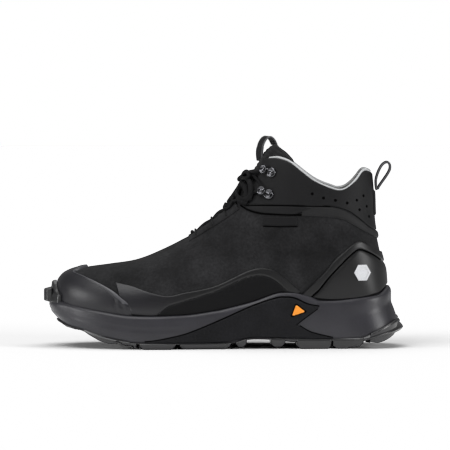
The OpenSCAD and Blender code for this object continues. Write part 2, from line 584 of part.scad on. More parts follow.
module eyestays() {
  function spot(u, v, side, d) = let (s = mix(8.1, 10.35, u)) at(s, side * (throat_q(s) - mix(12, 1, v)), d);
  color([0.18, 0.18, 0.19])
    for (side = [1, -1])
      shell(function (u, v) spot(u, v, side, gap + 1), function (u, v) spot(u, v, side, gap),
        8, 2, side < 0);
}

module lace_keepers() {
  color([0.1, 0.1, 0.1])
    for (side = [1, -1]) for (s = KEEPERS) {
      a = at(s, side * (throat_q(s) - 9), gap + 1.6);
      b = at(s, side * (throat_q(s) - 1), gap + 2);
      c = at(s, side * (throat_q(s) + 2.5), gap + 3.6);
      e = at(s, side * (throat_q(s) + 1), gap + 6);
      f = at(s, side * (throat_q(s) - 4), gap + 5);
      cord([a, b, c, e, f], 0.5, 6);
    }
}

// Strand across the throat from one edge to the other, raised in the middle
function strand(s0, q0, s1, q1, lift) = [for (t = [0:0.125:1])
  at(mix(s0, s1, t), mix(q0, q1, t), 2.6 + lift * sin(180 * t))];
module lace() {
  color([0.07, 0.07, 0.07]) {
    cord(strand(8.18, 174, 8.18, 186, 0.6), lace_r);
    for (i = [0:1]) {
      a = KEEPERS[i] + 0.12;
      b = KEEPERS[i + 1] - 0.12;
      cord(strand(a, throat_q(a) + 7, b, 353 - throat_q(b), 0), lace_r);
      cord(strand(a, 353 - throat_q(a), b, throat_q(b) + 7, 4), lace_r);
    }
    cord(strand(10.0, throat_q(10) + 6, 11.05, 207, 0), lace_r);
    cord(strand(10.0, 354 - throat_q(10), 11.05, 153, 4), lace_r);
  }
}

// One loop of the bow: it leaves the knot on top and comes back to it underneath
function bow_loop(side) = [for (a = [0:20:340])
  at(12.15 - 0.6 * sin(a / 2), side * (171 - 12 * sin(a / 2) - 7 * sin(a)), 5.6 + 2.4 * cos(a / 2))];
module lace_bow() {
  color([0.07, 0.07, 0.07])
    for (side = [1, -1]) {
      cord(bow_loop(side), lace_r);
      cord(strand(12.45, side * 168, 13.35, side * 160, 0.6), lace_r);
    }
}

module lace_knot() {
  color([0.07, 0.07, 0.07])
    translate(at(12.05, 180, 6.6))
      rotate([0, -50, 0])
        scale([1, 1.25, 0.9])
          sphere(r = 3.4, $fn = 20);
}

module rivets() {
  color([0.4, 0.4, 0.43])
    for (side = [1, -1]) for (h = HOOKS)
      on_surface([h[0], h[1]], panel_gap + panel_t + 0.35, side) {
        cylinder(r = rivet_r, h = 1, $fn = 40);
        translate([0, 0, 1])
          cylinder(r1 = rivet_r - 0.6, r2 = 1.8, h = 0.9, $fn = 40);
      }
}

module hook(h, side) {
  color([0.4, 0.4, 0.43]) {
    on_surface([h[2], h[3]], panel_gap + panel_t + 0.35 + head_lift, side)
      cylinder(r = head_r, h = 1, $fn = 36);
    on_surface([h[2], h[3]], panel_gap + panel_t + 0.35, side)
      cylinder(r = 1.4, h = head_lift - 0.02, $fn = 24);
  }
}

module hooks_lower() {
  for (side = [1, -1]) hook(HOOKS[0], side);
}

module hooks_top() {
  for (side = [1, -1]) hook(HOOKS[1], side);
}

// Tongue: proud in the middle of the throat, tucked under the quarters at its sides
tongue_half = 34;
function tongue_d(s, q) = mix(-shell_t - gap - liner_t - 1.2, -1.2,
  ease((180 - throat_q(s) + 3 - abs(q - 180)) / 9 - 0.45));
function tongue_s(q) = 17.15 - 1.5 * pow(abs(q - 180) / 36, 2);
module tongue() {
  function spot(u, v, t) = let (q = 180 + tongue_half * (2 * v - 1), s = mix(8.12, tongue_s(q), u))
    at(s, q, tongue_d(s, q) - t);
  color([0.15, 0.15, 0.16])
    shell(function (u, v) spot(u, v, 0), function (u, v) spot(u, v, mix(2, tongue_t, ease(u * 2))), 16, 16);
}

TONGUE_LOOP = [[29, 158.6], [28.9, 163], [29.8, 168], [31.8, 172.6], [34.6, 176.4], [37.4, 178], [40, 177.4],
  [42, 175], [43.4, 173.2]];
module tongue_loop() {
  color([0.09, 0.09, 0.09])
    webbing(TONGUE_LOOP, webbing_w, webbing_t);
}

HEEL_LOOP = [[130.2, 133.4], [129.4, 137], [129.5, 142], [131.3, 148], [134.6, 154], [138.4, 156.4],
  [141, 154.6], [141.2, 150.4], [138.6, 145.4], [134.6, 139.4], [132.3, 134.4]];
module heel_loop() {
  color([0.09, 0.09, 0.09])
    webbing(HEEL_LOOP, webbing_w, webbing_t);
}

module heel_tab() {
  color([0.1, 0.1, 0.1])
    shell(function (u, v) at(mix(16.15, 17.1, v), mix(12, -12, u), panel_gap + panel_t + 1.1),
      function (u, v) at(mix(16.15, 17.1, v), mix(12, -12, u), panel_gap + panel_t + 0.4), 4, 4);
}

midsole();
outsole();
lugs_toe();
lugs_outer();
lugs_inner();
lugs_centre();
lugs_heel();
toe_bumper();
toe_lugs();
plate_outer();
plate_inner();
inserts();
lasting_board();
footbed();
vamp();
quarter_outer();
quarter_inner();
bootie();
collar_padding();
collar_piping();
toe_cap();
overlay_outer();
overlay_inner();
heel_cup();
ankle_band();
collar_outer();
collar_inner();
side_labels();
heel_badge();
eyestays();
lace_keepers();
lace();
lace_bow();
lace_knot();
rivets();
hooks_lower();
hooks_top();
tongue();
tongue_loop();
heel_loop();
heel_tab();
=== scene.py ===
"""Looks of the hiking boot. Every visual piece is shaped from one table of cross sections, in millimetres.

A place on the boot is given by a section number s, which runs from the toe (0) over the instep to the heel and the
rim (18), an angle q round that section (0 base, 90 outer side, 180 top, negative on the inner side) and a height d
above that surface. Side views use x (toe to heel) and z (up).
"""

import bpy
import math
import numpy as np
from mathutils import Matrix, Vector


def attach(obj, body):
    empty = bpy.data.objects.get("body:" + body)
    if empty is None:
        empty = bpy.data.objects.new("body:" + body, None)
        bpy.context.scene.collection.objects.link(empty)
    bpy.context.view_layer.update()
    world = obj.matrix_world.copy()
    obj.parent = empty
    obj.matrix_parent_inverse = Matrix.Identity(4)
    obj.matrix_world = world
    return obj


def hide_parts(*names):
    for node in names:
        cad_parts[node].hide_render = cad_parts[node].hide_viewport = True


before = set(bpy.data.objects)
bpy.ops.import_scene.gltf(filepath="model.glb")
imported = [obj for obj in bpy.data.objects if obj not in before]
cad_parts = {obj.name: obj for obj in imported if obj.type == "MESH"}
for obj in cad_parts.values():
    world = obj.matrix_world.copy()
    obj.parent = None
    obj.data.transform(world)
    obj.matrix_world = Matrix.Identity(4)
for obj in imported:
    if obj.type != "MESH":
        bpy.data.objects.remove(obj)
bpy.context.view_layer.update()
MM = 0.001

# Camera: long lens, level with the middle of the boot, looking at its outer side.
cam_data = bpy.data.cameras.new("camera")
cam_data.lens = 400
cam = bpy.data.objects.new("camera", cam_data)
bpy.context.collection.objects.link(cam)
AIM = np.array([0.0013, 0.0, 0.1028])
ELEV = math.radians(2.5)
DIST = 4.25
cam.location = AIM + DIST * np.array([0, -math.cos(ELEV), math.sin(ELEV)])
cam.rotation_euler = (math.pi / 2 - ELEV, 0, 0)
bpy.context.scene.camera = cam

# ---------------- boot surface
# top x, top z, base x, base z, centre y, outer and inner half width, height share of the widest place,
# base and top roundness
SECTIONS = np.array([
    [-140.5, 52, -140.5, 37.5, 2, 0.05, 0.05, 0.4, 0.6, 0.8],
    [-139, 56.4, -139, 34, 2.2, 12, 12, 0.4, 0.45, 0.75],
    [-134.5, 61.3, -135, 30, 2.8, 21.5, 20.5, 0.4, 0.36, 0.72],
    [-126, 64.9, -127, 27, 3.5, 31, 28.5, 0.38, 0.3, 0.72],
    [-113, 67.3, -114, 25, 4, 40, 36, 0.34, 0.28, 0.74],
    [-96, 69.6, -97, 23, 4, 47, 42, 0.3, 0.28, 0.78],
    [-73.5, 73.3, -74, 21, 3.5, 52, 45, 0.27, 0.28, 0.84],
    [-52, 81.8, -50, 20, 2.5, 51.5, 45, 0.25, 0.28, 0.92],
    [-30, 93.3, -24, 20, 2, 47.5, 42, 0.24, 0.28, 0.98],
    [-11, 107.5, 4, 21, 1.5, 43, 38.5, 0.24, 0.28, 0.98],
    [2.5, 119.5, 36, 23, 1, 39.5, 36, 0.25, 0.3, 0.94],
    [12, 131.5, 72, 25, 0.6, 37.5, 35, 0.27, 0.33, 0.88],
    [19.5, 142.5, 108, 25.5, 0.3, 36.5, 35, 0.29, 0.42, 0.84],
    [25, 150.5, 134.8, 30, 0, 36, 35, 0.31, 0.7, 0.82],
    [29, 157, 137, 60, 0, 35.5, 35, 0.34, 0.95, 0.82],
    [32.5, 163.5, 131.6, 85, 0, 34.5, 34.5, 0.38, 0.92, 0.84],
    [37.5, 169, 127.6, 108, 0, 33.5, 33.5, 0.42, 0.9, 0.86],
    [43, 173.5, 126.6, 130, 0, 33.5, 33.5, 0.46, 0.9, 0.88],
    [49, 177, 124.6, 152, 0, 33.5, 33.5, 0.5, 0.9, 0.9]])
# Heights by x: where upper and midsole meet, where midsole and outsole meet, the outsole's underside between the
# lugs, the tread and the rim; then the angle of the lacing opening's edge by section number
FEATHER = np.array([[-142, 41], [-131, 37.4], [-116, 34], [-101.6, 31.5], [-82, 28.5], [-62.5, 27.7], [-47, 28],
    [-28, 29], [-7, 32], [0, 33.3], [24, 39.3], [43, 46], [52, 47], [62, 46.5], [75, 43], [81, 40.5], [95.6, 40.5],
    [113.5, 42.5], [128, 44.5], [133, 47], [137, 51], [142, 52.7]])
PARTING = np.array([[-152, 30], [-146, 27.5], [-140, 23.4], [-130, 19.4], [-118, 16.4], [-110, 13.6], [-100, 11],
    [-90, 8.8], [-80, 7.2], [-70, 6], [0, 5.6], [20, 9.2], [40, 9.4], [60, 9], [90, 8.8], [110, 9.4], [117, 10.6],
    [121, 12.8], [135, 19.5], [148, 26.4], [154, 28]])
WEB = np.array([[-152, 29], [-146, 25.5], [-140, 21.8], [-130, 18.6], [-118, 15.6], [-110, 12.4], [-100, 9.2],
    [-90, 7.2], [-80, 5.8], [-70, 4.4], [0, 4.2], [20, 8], [40, 8], [60, 6], [90, 6], [116, 7], [125, 9.5], [140, 16],
    [154, 21]])
TREAD = np.array([[-150, 26], [-141, 20.6], [-136, 18.2], [-130, 17], [-122, 15], [-116, 12.8], [-110, 9.6],
    [-104, 6.6], [-98, 5.1], [-90, 4.2], [-82, 3.8], [-75, 2.6], [-70, 0], [91, 0], [100, 0.8], [112, 1.8], [120, 3],
    [134, 5.5], [143.7, 9.8], [150, 16]])
RIM = np.array([[22, 158.5], [41, 161], [47, 161], [55, 158], [62, 152.7], [69.4, 146.8], [76.8, 141.6], [84, 138],
    [90.5, 135.7], [96.5, 133.8], [103, 134.6], [109, 138.6], [114, 144], [119, 150], [124, 149.5], [129, 146]])
THROAT = np.array([[8, 171], [9, 167], [10, 165], [11, 162], [12, 160], [14, 158], [18, 157]])


LAST = 17.99  # largest section number in use


def curve(p, i, t):
    """Catmull-Rom curve at share t of the way from point i to the next."""
    a, b, c, d = p[np.maximum(i - 1, 0)], p[i], p[i + 1], p[np.minimum(i + 2, len(p) - 1)]
    return b + 0.5 * t * ((c - a) + t * ((2 * a - 5 * b + 4 * c - d) + t * (3 * b - a - 3 * c + d)))


def smooth_line(pts, n=200):
    """Curve through given points, as an array of n points."""
    p = np.asarray(pts, float)
    t = np.linspace(0, len(p) - 1, n)
    i = np.minimum(t.astype(int), len(p) - 2)
    return curve(p, i, (t - i)[:, None])


def table(pts):
    """Smooth lookup of the second column by the first."""
    line = smooth_line(pts, n=12 * len(pts))
    return lambda x: np.interp(x, line[:, 0], line[:, 1])


feather, parting, web, tread, rim = (table(t) for t in (FEATHER, PARTING, WEB, TREAD, RIM))


def ease(t):
    """Smooth step from 0 to 1."""
    c = np.clip(t, 0, 1)
    return c * c * (3 - 2 * c)


def row(s):
    """Cross section values at a section number that need not be whole."""
    s = np.clip(np.asarray(s, float), 0, len(SECTIONS) - 1.001)
    i = s.astype(int)
    return curve(SECTIONS, i, (s - i)[..., None])


def skin(s, q):
    """Outer surface at section s and angle q in degrees: 0 base, 90 widest outside, 180 top, -90 inside."""
    s, q = np.broadcast_arrays(np.asarray(s, float), np.asarray(q, float))
    r = row(s)
    c, h = -np.cos(np.radians(q)), np.sin(np.radians(q))
    f = np.where(c < 0, r[..., 7] * (1 + c), r[..., 7] + (1 - r[..., 7]) * c)
    w = np.where(h >= 0, -np.maximum(r[..., 5], 0.05), np.maximum(r[..., 6], 0.05))
    h = np.abs(h) ** np.where(c < 0, r[..., 8], r[..., 9])
    return np.stack([r[..., 2] + f * (r[..., 0] - r[..., 2]), r[..., 4] + w * h,
                     r[..., 3] + f * (r[..., 1] - r[..., 3])], -1)


def normal(s, q):
    """Outward unit normal of the surface."""
    n = np.cross(skin(s + 0.02, q) - skin(np.maximum(s - 0.02, 0), q), skin(s, q + 0.6) - skin(s, q - 0.6))
    return n / np.maximum(np.linalg.norm(n, axis=-1, keepdims=True), 1e-9)


def at(s, q, d):
    """Place at height d above the surface."""
    s, q = np.broadcast_arrays(np.asarray(s, float), np.asarray(q, float))
    return skin(s, q) + np.asarray(d)[..., None] * normal(s, q)


def bisect(below, shape, lo, hi, steps=22):
    """Largest values between lo and hi for which below(values) holds."""
    lo, hi = np.full(shape, lo), np.full(shape, hi)
    for _ in range(steps):
        m = (lo + hi) / 2
        up = below(m)
        lo, hi = np.where(up, m, lo), np.where(up, hi, m)
    return lo


def find(x, z):
    """Section number and angle of a place seen from the side."""
    x, z = np.broadcast_arrays(np.asarray(x, float), np.asarray(z, float))

    def in_front(m):
        r = row(m)
        return (x - r[..., 2]) * (r[..., 1] - r[..., 3]) - (z - r[..., 3]) * (r[..., 0] - r[..., 2]) > 0
    lo = bisect(in_front, x.shape, 0.0, LAST)
    r = row(lo)
    tx, tz = r[..., 0] - r[..., 2], r[..., 1] - r[..., 3]
    f = np.clip(((x - r[..., 2]) * tx + (z - r[..., 3]) * tz) / (tx * tx + tz * tz), 0, 1)
    a = np.where(f < r[..., 7], (f - r[..., 7]) / r[..., 7], (f - r[..., 7]) / (1 - r[..., 7]))
    return lo, np.degrees(np.arccos(np.clip(-a, -1, 1)))


def feather_q(s):
    """Angle at which a section crosses the line where the upper meets the midsole."""
    def under(m):
        p = skin(s, m)
        return p[..., 2] <= feather(p[..., 0])
    return bisect(under, np.shape(s), 0.0, 90.0, 24)


def throat_q(s):
    """Angle of the edge of the lacing opening."""
    s = np.asarray(s, float)
    front = 180 - 9 * np.sqrt(np.clip((s - 7.7) / 0.3, 0, 1))
    return np.where(s < 8, front, np.interp(s, THROAT[:, 0], THROAT[:, 1]))


def low_q(s):
    """Lowest angle of the upper: under the foot in front, the middle of the heel behind."""
    return 22 - 22 * ease((np.asarray(s, float) - 11.6) / 1.4)


def rim_s(v, drop):
    """Section number at which share v of the way to the throat is drop below the rim line."""
    def under(m):
        p = skin(m, low_q(m) + v * (throat_q(m) - low_q(m)))
        return p[..., 2] <= rim(p[..., 0]) - drop
    return bisect(under, np.shape(v), 13.0, LAST)


# ---------------- materials
def fill(node, **values):
    """Set inputs of a shader node by their names, with _ for a space."""
    for key, value in values.items():
        node.inputs[key.replace("_", " ")].default_value = value
    return node


def material(name, base, rough, scale=0.0, spread=0.0, bump=0.0, bump_scale=800.0, metallic=0.0, kind="noise",
             patch=0.0, patch_scale=40.0, spec=0.5, fade=None):
    """Principled surface. Fine noise (scale, spread) and wide patches vary the colour; bump is relief of a kind.

    fade is (x0, x1, colour): along the boot the base turns into that colour between two places in metres.
    """
    m = bpy.data.materials.new(name)
    m.use_nodes = True
    t = m.node_tree
    b = fill(t.nodes["Principled BSDF"], Roughness=rough, Metallic=metallic, Specular_IOR_Level=spec,
             Base_Color=(*base, 1))
    co = t.nodes.new("ShaderNodeTexCoord")
    if spread or patch:
        mul = t.nodes.new("ShaderNodeMath")
        mul.operation = "MULTIPLY"
        fine = (scale, 4, 0.5, 0.3, 0.7, 1 - spread, 1 + spread)
        wide = (patch_scale, 5, 0.6, 0.35, 0.68, 1 - patch * 0.6, 1 + patch)
        for slot, (size, detail, roughness, low, high, least, most) in enumerate((fine, wide)):
            n = fill(t.nodes.new("ShaderNodeTexNoise"), Scale=size, Detail=detail, Roughness=roughness)
            t.links.new(co.outputs["Object"], n.inputs["Vector"])
            a = fill(t.nodes.new("ShaderNodeMapRange"), From_Min=low, From_Max=high, To_Min=least, To_Max=most)
            t.links.new(n.outputs["Fac"], a.inputs["Value"])
            t.links.new(a.outputs["Result"], mul.inputs[slot])
        mix = t.nodes.new("ShaderNodeVectorMath")
        mix.operation = "SCALE"
        mix.inputs[0].default_value = base
        t.links.new(mul.outputs[0], mix.inputs["Scale"])
        t.links.new(mix.outputs["Vector"], b.inputs["Base Color"])
        if fade:
            split = t.nodes.new("ShaderNodeSeparateXYZ")
            t.links.new(co.outputs["Object"], split.inputs["Vector"])
            run = fill(t.nodes.new("ShaderNodeMapRange"), From_Min=fade[0], From_Max=fade[1])
            t.links.new(split.outputs["X"], run.inputs["Value"])
            far = t.nodes.new("ShaderNodeVectorMath")
            far.operation = "MULTIPLY_ADD"
            t.links.new(run.outputs["Result"], far.inputs[0])
            far.inputs[1].default_value = tuple(q - p for p, q in zip(base, fade[2]))
            far.inputs[2].default_value = base
            t.links.new(far.outputs["Vector"], mix.inputs[0])
    if bump:
        shape, out = ("ShaderNodeTexVoronoi", "Distance") if kind == "cells" else ("ShaderNodeTexNoise", "Fac")
        h = fill(t.nodes.new(shape), Scale=bump_scale)
        t.links.new(co.outputs["Object"], h.inputs["Vector"])
        bm = fill(t.nodes.new("ShaderNodeBump"), Strength=bump, Distance=0.0006)
        t.links.new(h.outputs[out], bm.inputs["Height"])
        t.links.new(bm.outputs["Normal"], b.inputs["Normal"])
    return m


def woven(name, base, scale):
    """Woven webbing or lace: two crossed wave bands."""
    m = material(name, base, 0.75, 900, 0.35, spec=0.12)
    t = m.node_tree
    b = t.nodes["Principled BSDF"]
    co = t.nodes.new("ShaderNodeTexCoord")
    mx = t.nodes.new("ShaderNodeMath")
    mx.operation = "MULTIPLY"
    for slot, direction in enumerate(("Y", "DIAGONAL")):
        w = fill(t.nodes.new("ShaderNodeTexWave"), Scale=scale / 2)
        w.bands_direction = direction
        t.links.new(co.outputs["Object"], w.inputs["Vector"])
        t.links.new(w.outputs["Fac"], mx.inputs[slot])
    bm = fill(t.nodes.new("ShaderNodeBump"), Strength=0.6, Distance=0.0005)
    t.links.new(mx.outputs[0], bm.inputs["Height"])
    t.links.new(bm.outputs["Normal"], b.inputs["Normal"])
    return m


SUEDE = material("nubuck", (0.0084, 0.0084, 0.0089), 0.95, 500, 0.35, 0.5, 1400, patch=0.7, patch_scale=30,
                 spec=0.16)
COLLAR = material("collar_leather", (0.0046, 0.0046, 0.0050), 0.6, 800, 0.15, 0.3, 1600, patch=0.2,
                  patch_scale=40, spec=0.14)
BAND = material("band_leather", (0.0060, 0.0060, 0.0064), 0.7, 800, 0.2, 0.3, 1500, patch=0.2, spec=0.22)
FILM = material("moulded_film", (0.0084, 0.0082, 0.0102), 0.38, 900, 0.1, 0.18, 1500, patch=0.15,
                patch_scale=25, spec=0.3)
CUP = material("cup_film", (0.0030, 0.0030, 0.0033), 0.42, 900, 0.1, 0.12, 1500, spec=0.28)
OVERLAY = material("overlay_film", (0.0040, 0.0040, 0.0043), 0.6, 900, 0.12, 0.25, 1200, spec=0.08)
BAND_FILM = material("overlay_band", (0.0070, 0.0068, 0.0086), 0.38, 900, 0.1, 0.2, 1300, spec=0.3,
                     fade=(-0.072, -0.030, (0.0040, 0.0040, 0.0043)))
# Lighter film for the toe cap's top edge: a painted highlight along the raised edge
CAP_EDGE_HIGHLIGHT = material("painted_cap_edge_highlight", (0.035, 0.035, 0.040), 0.4, spec=0.5)
FOAM = material("midsole_foam", (0.0132, 0.0127, 0.0162), 0.42, 700, 0.1, 0.2, 1300, patch=0.3,
                patch_scale=26, spec=0.38)
PLATE = material("plate_rubber", (0.0044, 0.0044, 0.0053), 0.6, 700, 0.2, 0.8, 420, kind="cells",
                 patch=0.5, spec=0.12)
RUBBER = material("outsole_rubber", (0.0070, 0.0070, 0.0078), 0.3, 600, 0.15, 0.15, 700, spec=0.55)
ORANGE = material("insert_orange", (0.66, 0.215, 0.010), 0.45)
PIPING = material("piping", (0.33, 0.335, 0.34), 0.6, 900, 0.08, 0.2, 1500)
LINING = material("lining_mesh", (0.085, 0.085, 0.09), 0.9, 900, 0.25, 0.6, 900, kind="cells")
BOARD = material("board", (0.45, 0.42, 0.36), 0.9, 500, 0.15)
FOAMPAD = material("foam_pad", (0.3, 0.3, 0.28), 0.95, 900, 0.2, 0.5, 900)
KNIT = material("footbed_knit", (0.05, 0.05, 0.055), 0.9, 900, 0.3, 0.5, 1000, kind="cells")
LABEL = material("label", (0.0036, 0.0036, 0.0040), 0.7, 900, 0.1, spec=0.14)
BADGE = material("badge_print", (0.42, 0.425, 0.44), 0.4, 900, 0.1)
# Near-black: the dark border round the orange inserts, and painted shade in the perforations and seam grooves
DARK_BORDER_AND_SHADE = material("dark_border_and_painted_shade", (0.0015, 0.0015, 0.0015), 0.95, spec=0.0)
METAL = material("gunmetal", (0.07, 0.07, 0.075), 0.14, 500, 0.2, 0.1, 500, metallic=1.0)
LACE = woven("lace_braid", (0.0042, 0.0042, 0.0046), 1100)
WEBBING = woven("webbing", (0.0085, 0.0085, 0.0090), 900)
WEB_EDGE = woven("webbing_edge", (0.06, 0.06, 0.063), 900)
TONGUE = material("tongue_cloth", (0.0090, 0.0090, 0.0095), 0.85, 900, 0.25, 0.5, 1100, kind="cells", spec=0.2)


# ---------------- mesh helpers
def make(name, verts, faces, mats, body, cover=(), face_mats=None, smooth=True, slot=None, bevel=0.0, sharp=50):
    """Piece that rides on a body and stands for the CAD nodes in cover. bevel in mm, sharp in degrees."""
    me = bpy.data.meshes.new(name)
    me.from_pydata((np.asarray(verts) * MM).tolist(), [], [list(map(int, f)) for f in faces])
    for m in mats:
        me.materials.append(m)
    if face_mats is not None:
        me.polygons.foreach_set("material_index", np.asarray(face_mats, dtype=np.int32))
    me.polygons.foreach_set("use_smooth", [smooth] * len(me.polygons))
    me.validate()
    me.update()
    ob = bpy.data.objects.new(name, me)
    bpy.context.collection.objects.link(ob)
    if smooth:
        me.set_sharp_from_angle(angle=math.radians(sharp))
    if bevel:
        bv = ob.modifiers.new("bevel", "BEVEL")
        bv.width = bevel * MM
        bv.segments = 3
        bv.limit_method = "ANGLE"
        bv.angle_limit = math.radians(30)
    if cover:
        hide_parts(*cover)
    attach(ob, body)
    return ob


def grid_faces(nu, nv, base=0, flip=False, wrap=False):
    """Quads of a grid of nu by nv points, closed in the second direction when wrap is set."""
    i, j = np.meshgrid(np.arange(nu - 1), np.arange(nv if wrap else nv - 1), indexing="ij")
    k = (j + 1) % nv
    a, b, c, d = i * nv + j, (i + 1) * nv + j, (i + 1) * nv + k, i * nv + k
    f = np.stack([a, b, c, d], -1).reshape(-1, 4) + base
    return f[:, ::-1] if flip else f


def shell_data(outer, inner, flip=False):
    """Closed shell between two grids."""
    nu, nv = outer.shape[:2]
    n = nu * nv
    v = np.concatenate([outer.reshape(-1, 3), inner.reshape(-1, 3)])
    f = [grid_faces(nu, nv, 0, flip), grid_faces(nu, nv, n, not flip)]
    idx = np.arange(n).reshape(nu, nv)
    loop = np.concatenate([idx[:-1, 0], idx[-1, :-1], idx[:0:-1, -1], idx[0, :0:-1]])
    nxt = np.roll(loop, -1)
    side = np.stack([loop, loop + n, nxt + n, nxt], -1)
    f.append(side[:, ::-1] if flip else side)
    return v, np.concatenate(f)


def spread(n, r):
    """Parameters from 0 to 1: n even ones, and closer ones within share r of each end for a rounded edge."""
    e = np.array([0, 0.06, 0.18, 0.36, 0.6, 1.0]) * r
    return np.concatenate([e, np.linspace(r, 1 - r, n)[1:-1], 1 - e[::-1]])


def round_edge(u, v, ru, rv):
    """Height share from the distance to the nearest edge, quarter round."""
    du = np.minimum(u, 1 - u) / ru
    dv = np.minimum(v, 1 - v) / rv
    d = np.clip(np.minimum(du, dv), 0, 1)
    return np.sqrt(np.clip(1 - (1 - d) ** 2, 0, 1))


def panel(name, spot, nu, nv, d0, d1, mats, cover, ru, rv, flip, slot, relief=None, face_mat=None):
    """Panel with rounded edges from height d0 to d1: spot(u, v) gives (s, q), relief(u, v, s, q) adds to the height.

    ru and rv are the shares of the panel that its rounded edge takes, and face_mat(u, v) picks the second material.
    """
    u, v = np.meshgrid(spread(nu, ru), spread(nv, rv), indexing="ij")
    s, q = spot(u, v)
    e = round_edge(u, v, ru, rv)
    h = 0 if relief is None else relief(u, v, s, q)
    outer = at(s, q, d0 + (d1 - d0 + h) * e)
    inner = at(s, q, np.full(s.shape, d0 - 0.6))
    vv, ff = shell_data(outer, inner, flip)
    fm = None
    if face_mat is not None:
        second = face_mat((u[:-1, :-1] + u[1:, 1:]) / 2, (v[:-1, :-1] + v[1:, 1:]) / 2).astype(int).reshape(-1)
        fm = np.zeros(len(ff), int)
        fm[:len(second)] = second
    return make(name, vv, ff, mats, "boot", cover, fm, slot=slot)


def tube_data(path, r, n=12, flat=1.0, up=None):
    """Round or flattened tube along a path, with its flat side turned towards up when that is given."""
    p = np.asarray(path, float)
    t = np.gradient(p, axis=0)
    t /= np.linalg.norm(t, axis=1, keepdims=True)
    ref = np.array([0, 1, 0]) if abs(t[0][1]) < 0.8 else np.array([0, 0, 1])
    frames = []
    u = np.cross(t[0], ref)
    for i in range(len(p)):
        if up is not None:
            u = np.cross(up[i], t[i])
        else:
            u = u - t[i] * np.dot(u, t[i])
        u = u / max(np.linalg.norm(u), 1e-9)
        frames.append((u, np.cross(t[i], u)))
    a = np.linspace(0, 2 * np.pi, n, endpoint=False)
    v = np.concatenate([p[i] + r * (np.outer(np.cos(a), u) + flat * np.outer(np.sin(a), w))
                        for i, (u, w) in enumerate(frames)])
    f = grid_faces(len(p), n, 0, True, wrap=True)
    caps = [list(range(n)), [(len(p) - 1) * n + k for k in range(n)][::-1]]
    return v, [list(x) for x in f] + caps


def join(parts):
    """One list of vertices and faces from several."""
    vs, fs, off = [], [], 0
    for v, f in parts:
        vs.append(np.asarray(v))
        fs += [[int(k) + off for k in x] for x in f]
        off += len(v)
    return np.concatenate(vs), fs


def joined(name, bits, mat, cover=(), **looks):
    """One piece of the boot from several closed shapes."""
    verts, faces = join(bits)
    return make(name, verts, faces, [mat], "boot", cover, **looks)


def along(line, u, n=400):
    """x and z at share u of a line of the side view."""
    return (np.interp(u, np.linspace(0, 1, n), c) for c in smooth_line(line, n=n).T)


def side_spot(low, top, side):
    """Spot function between a lower and an upper edge, both as side views."""
    def spot(u, v):
        a, b = find(*along(low, u)), find(*along(top, u))
        return a[0] + v * (b[0] - a[0]), side * (a[1] + v * (b[1] - a[1]))
    return spot


def wrap_spot(low, top):
    """Spot function round the heel, from the inside over the back to the outside."""
    def spot(u, v):
        t = 2 * u - 1
        s, q = side_spot(low, top, 1)(np.abs(t), v)
        return s, q * np.sign(t) * ease(np.abs(t) / 0.02)
    return spot


def ridge(x, c, w):
    """Bell of width w round c."""
    return np.exp(-((x - c) / w) ** 2)


def circle_at(x, z, side, d, n):
    """Place on the side surface, its normal and a circle of n unit directions along the surface."""
    s, q = find(x, z)
    c, nrm = at(s, side * q, d), normal(s, side * q)
    a = np.cross(nrm, [0, 0, 1])
    a /= np.linalg.norm(a)
    t = np.linspace(0, 2 * np.pi, n, endpoint=False)
    return c, nrm, np.outer(np.cos(t), a) + np.outer(np.sin(t), np.cross(nrm, a))


def stack(rings, n):
    """Closed solid from rings of n points each, from its base to its top."""
    last = (len(rings) - 1) * n
    sides = [list(f) for f in grid_faces(len(rings), n, 0, False, wrap=True)]
    return np.concatenate(rings), sides + [list(range(n))[::-1], [last + k for k in range(n)]]


# ---------------- upper
SHELL = 2.4  # thickness of the suede shell
GAP = 0.4  # between shell and lining
CLOTH = 0.9  # thickness of the lining
THROAT_START = 7.7  # section number at the front end of the lacing opening
NECK = 13.2  # section number from which the upper is stretched up to the rim


def side_at(s, v, side, d):
    """Place at share v of the way from the lowest angle to the throat edge."""
    return at(s, side * (low_q(s) + v * (throat_q(s) - low_q(s))), d)


def upper_shell():
    """Suede shell from the toe to the collar rim, open at the throat and under the foot."""
    v = spread(70, 0.015)
    low = np.concatenate([np.linspace(0.02, 1, 16), np.linspace(1, THROAT_START, 90)[1:]])
    neck = np.concatenate([THROAT_START + 0.3 * np.linspace(0, 1, 14)[1:] ** 2, np.linspace(8, NECK, 90)[1:]])
    rim_steps = np.linspace(0, 1, 60)[1:]
    parts = []
    for side in (1, -1):
        grids = []
        for d in (0.0, -SHELL):
            s, vv = np.meshgrid(np.concatenate([low, neck]), v, indexing="ij")
            body = side_at(s, vv, side, np.full(s.shape, d))
            s = NECK + rim_steps[:, None] * (rim_s(v, 1.6) - NECK)[None, :]
            head = side_at(s, v[None, :], side, np.full(s.shape, d))
            grids.append(np.concatenate([body, head]))
        verts, faces = shell_data(grids[0], grids[1], side > 0)
        # The two halves meet along the instep: the faces of the shell's edge there are left out
        nu, nv = grids[0].shape[:2]
        n_main = 2 * (nu - 1) * (nv - 1)
        hidden = set(np.arange(nu * nv).reshape(nu, nv)[:len(low) + 1, -1].tolist())
        edge = [f for f in faces[n_main:] if not {int(f[0]) % (nu * nv), int(f[2]) % (nu * nv)} <= hidden]
        parts.append((verts, list(faces[:n_main]) + edge))
    verts, faces = join(parts)
    ob = make("upper_shell", verts, faces, [SUEDE], "boot", ("vamp", "quarter_outer", "quarter_inner"), slot="suede",
              sharp=40)
    weld = ob.modifiers.new("weld", "WELD")
    weld.merge_threshold = 0.03 * MM


upper_shell()


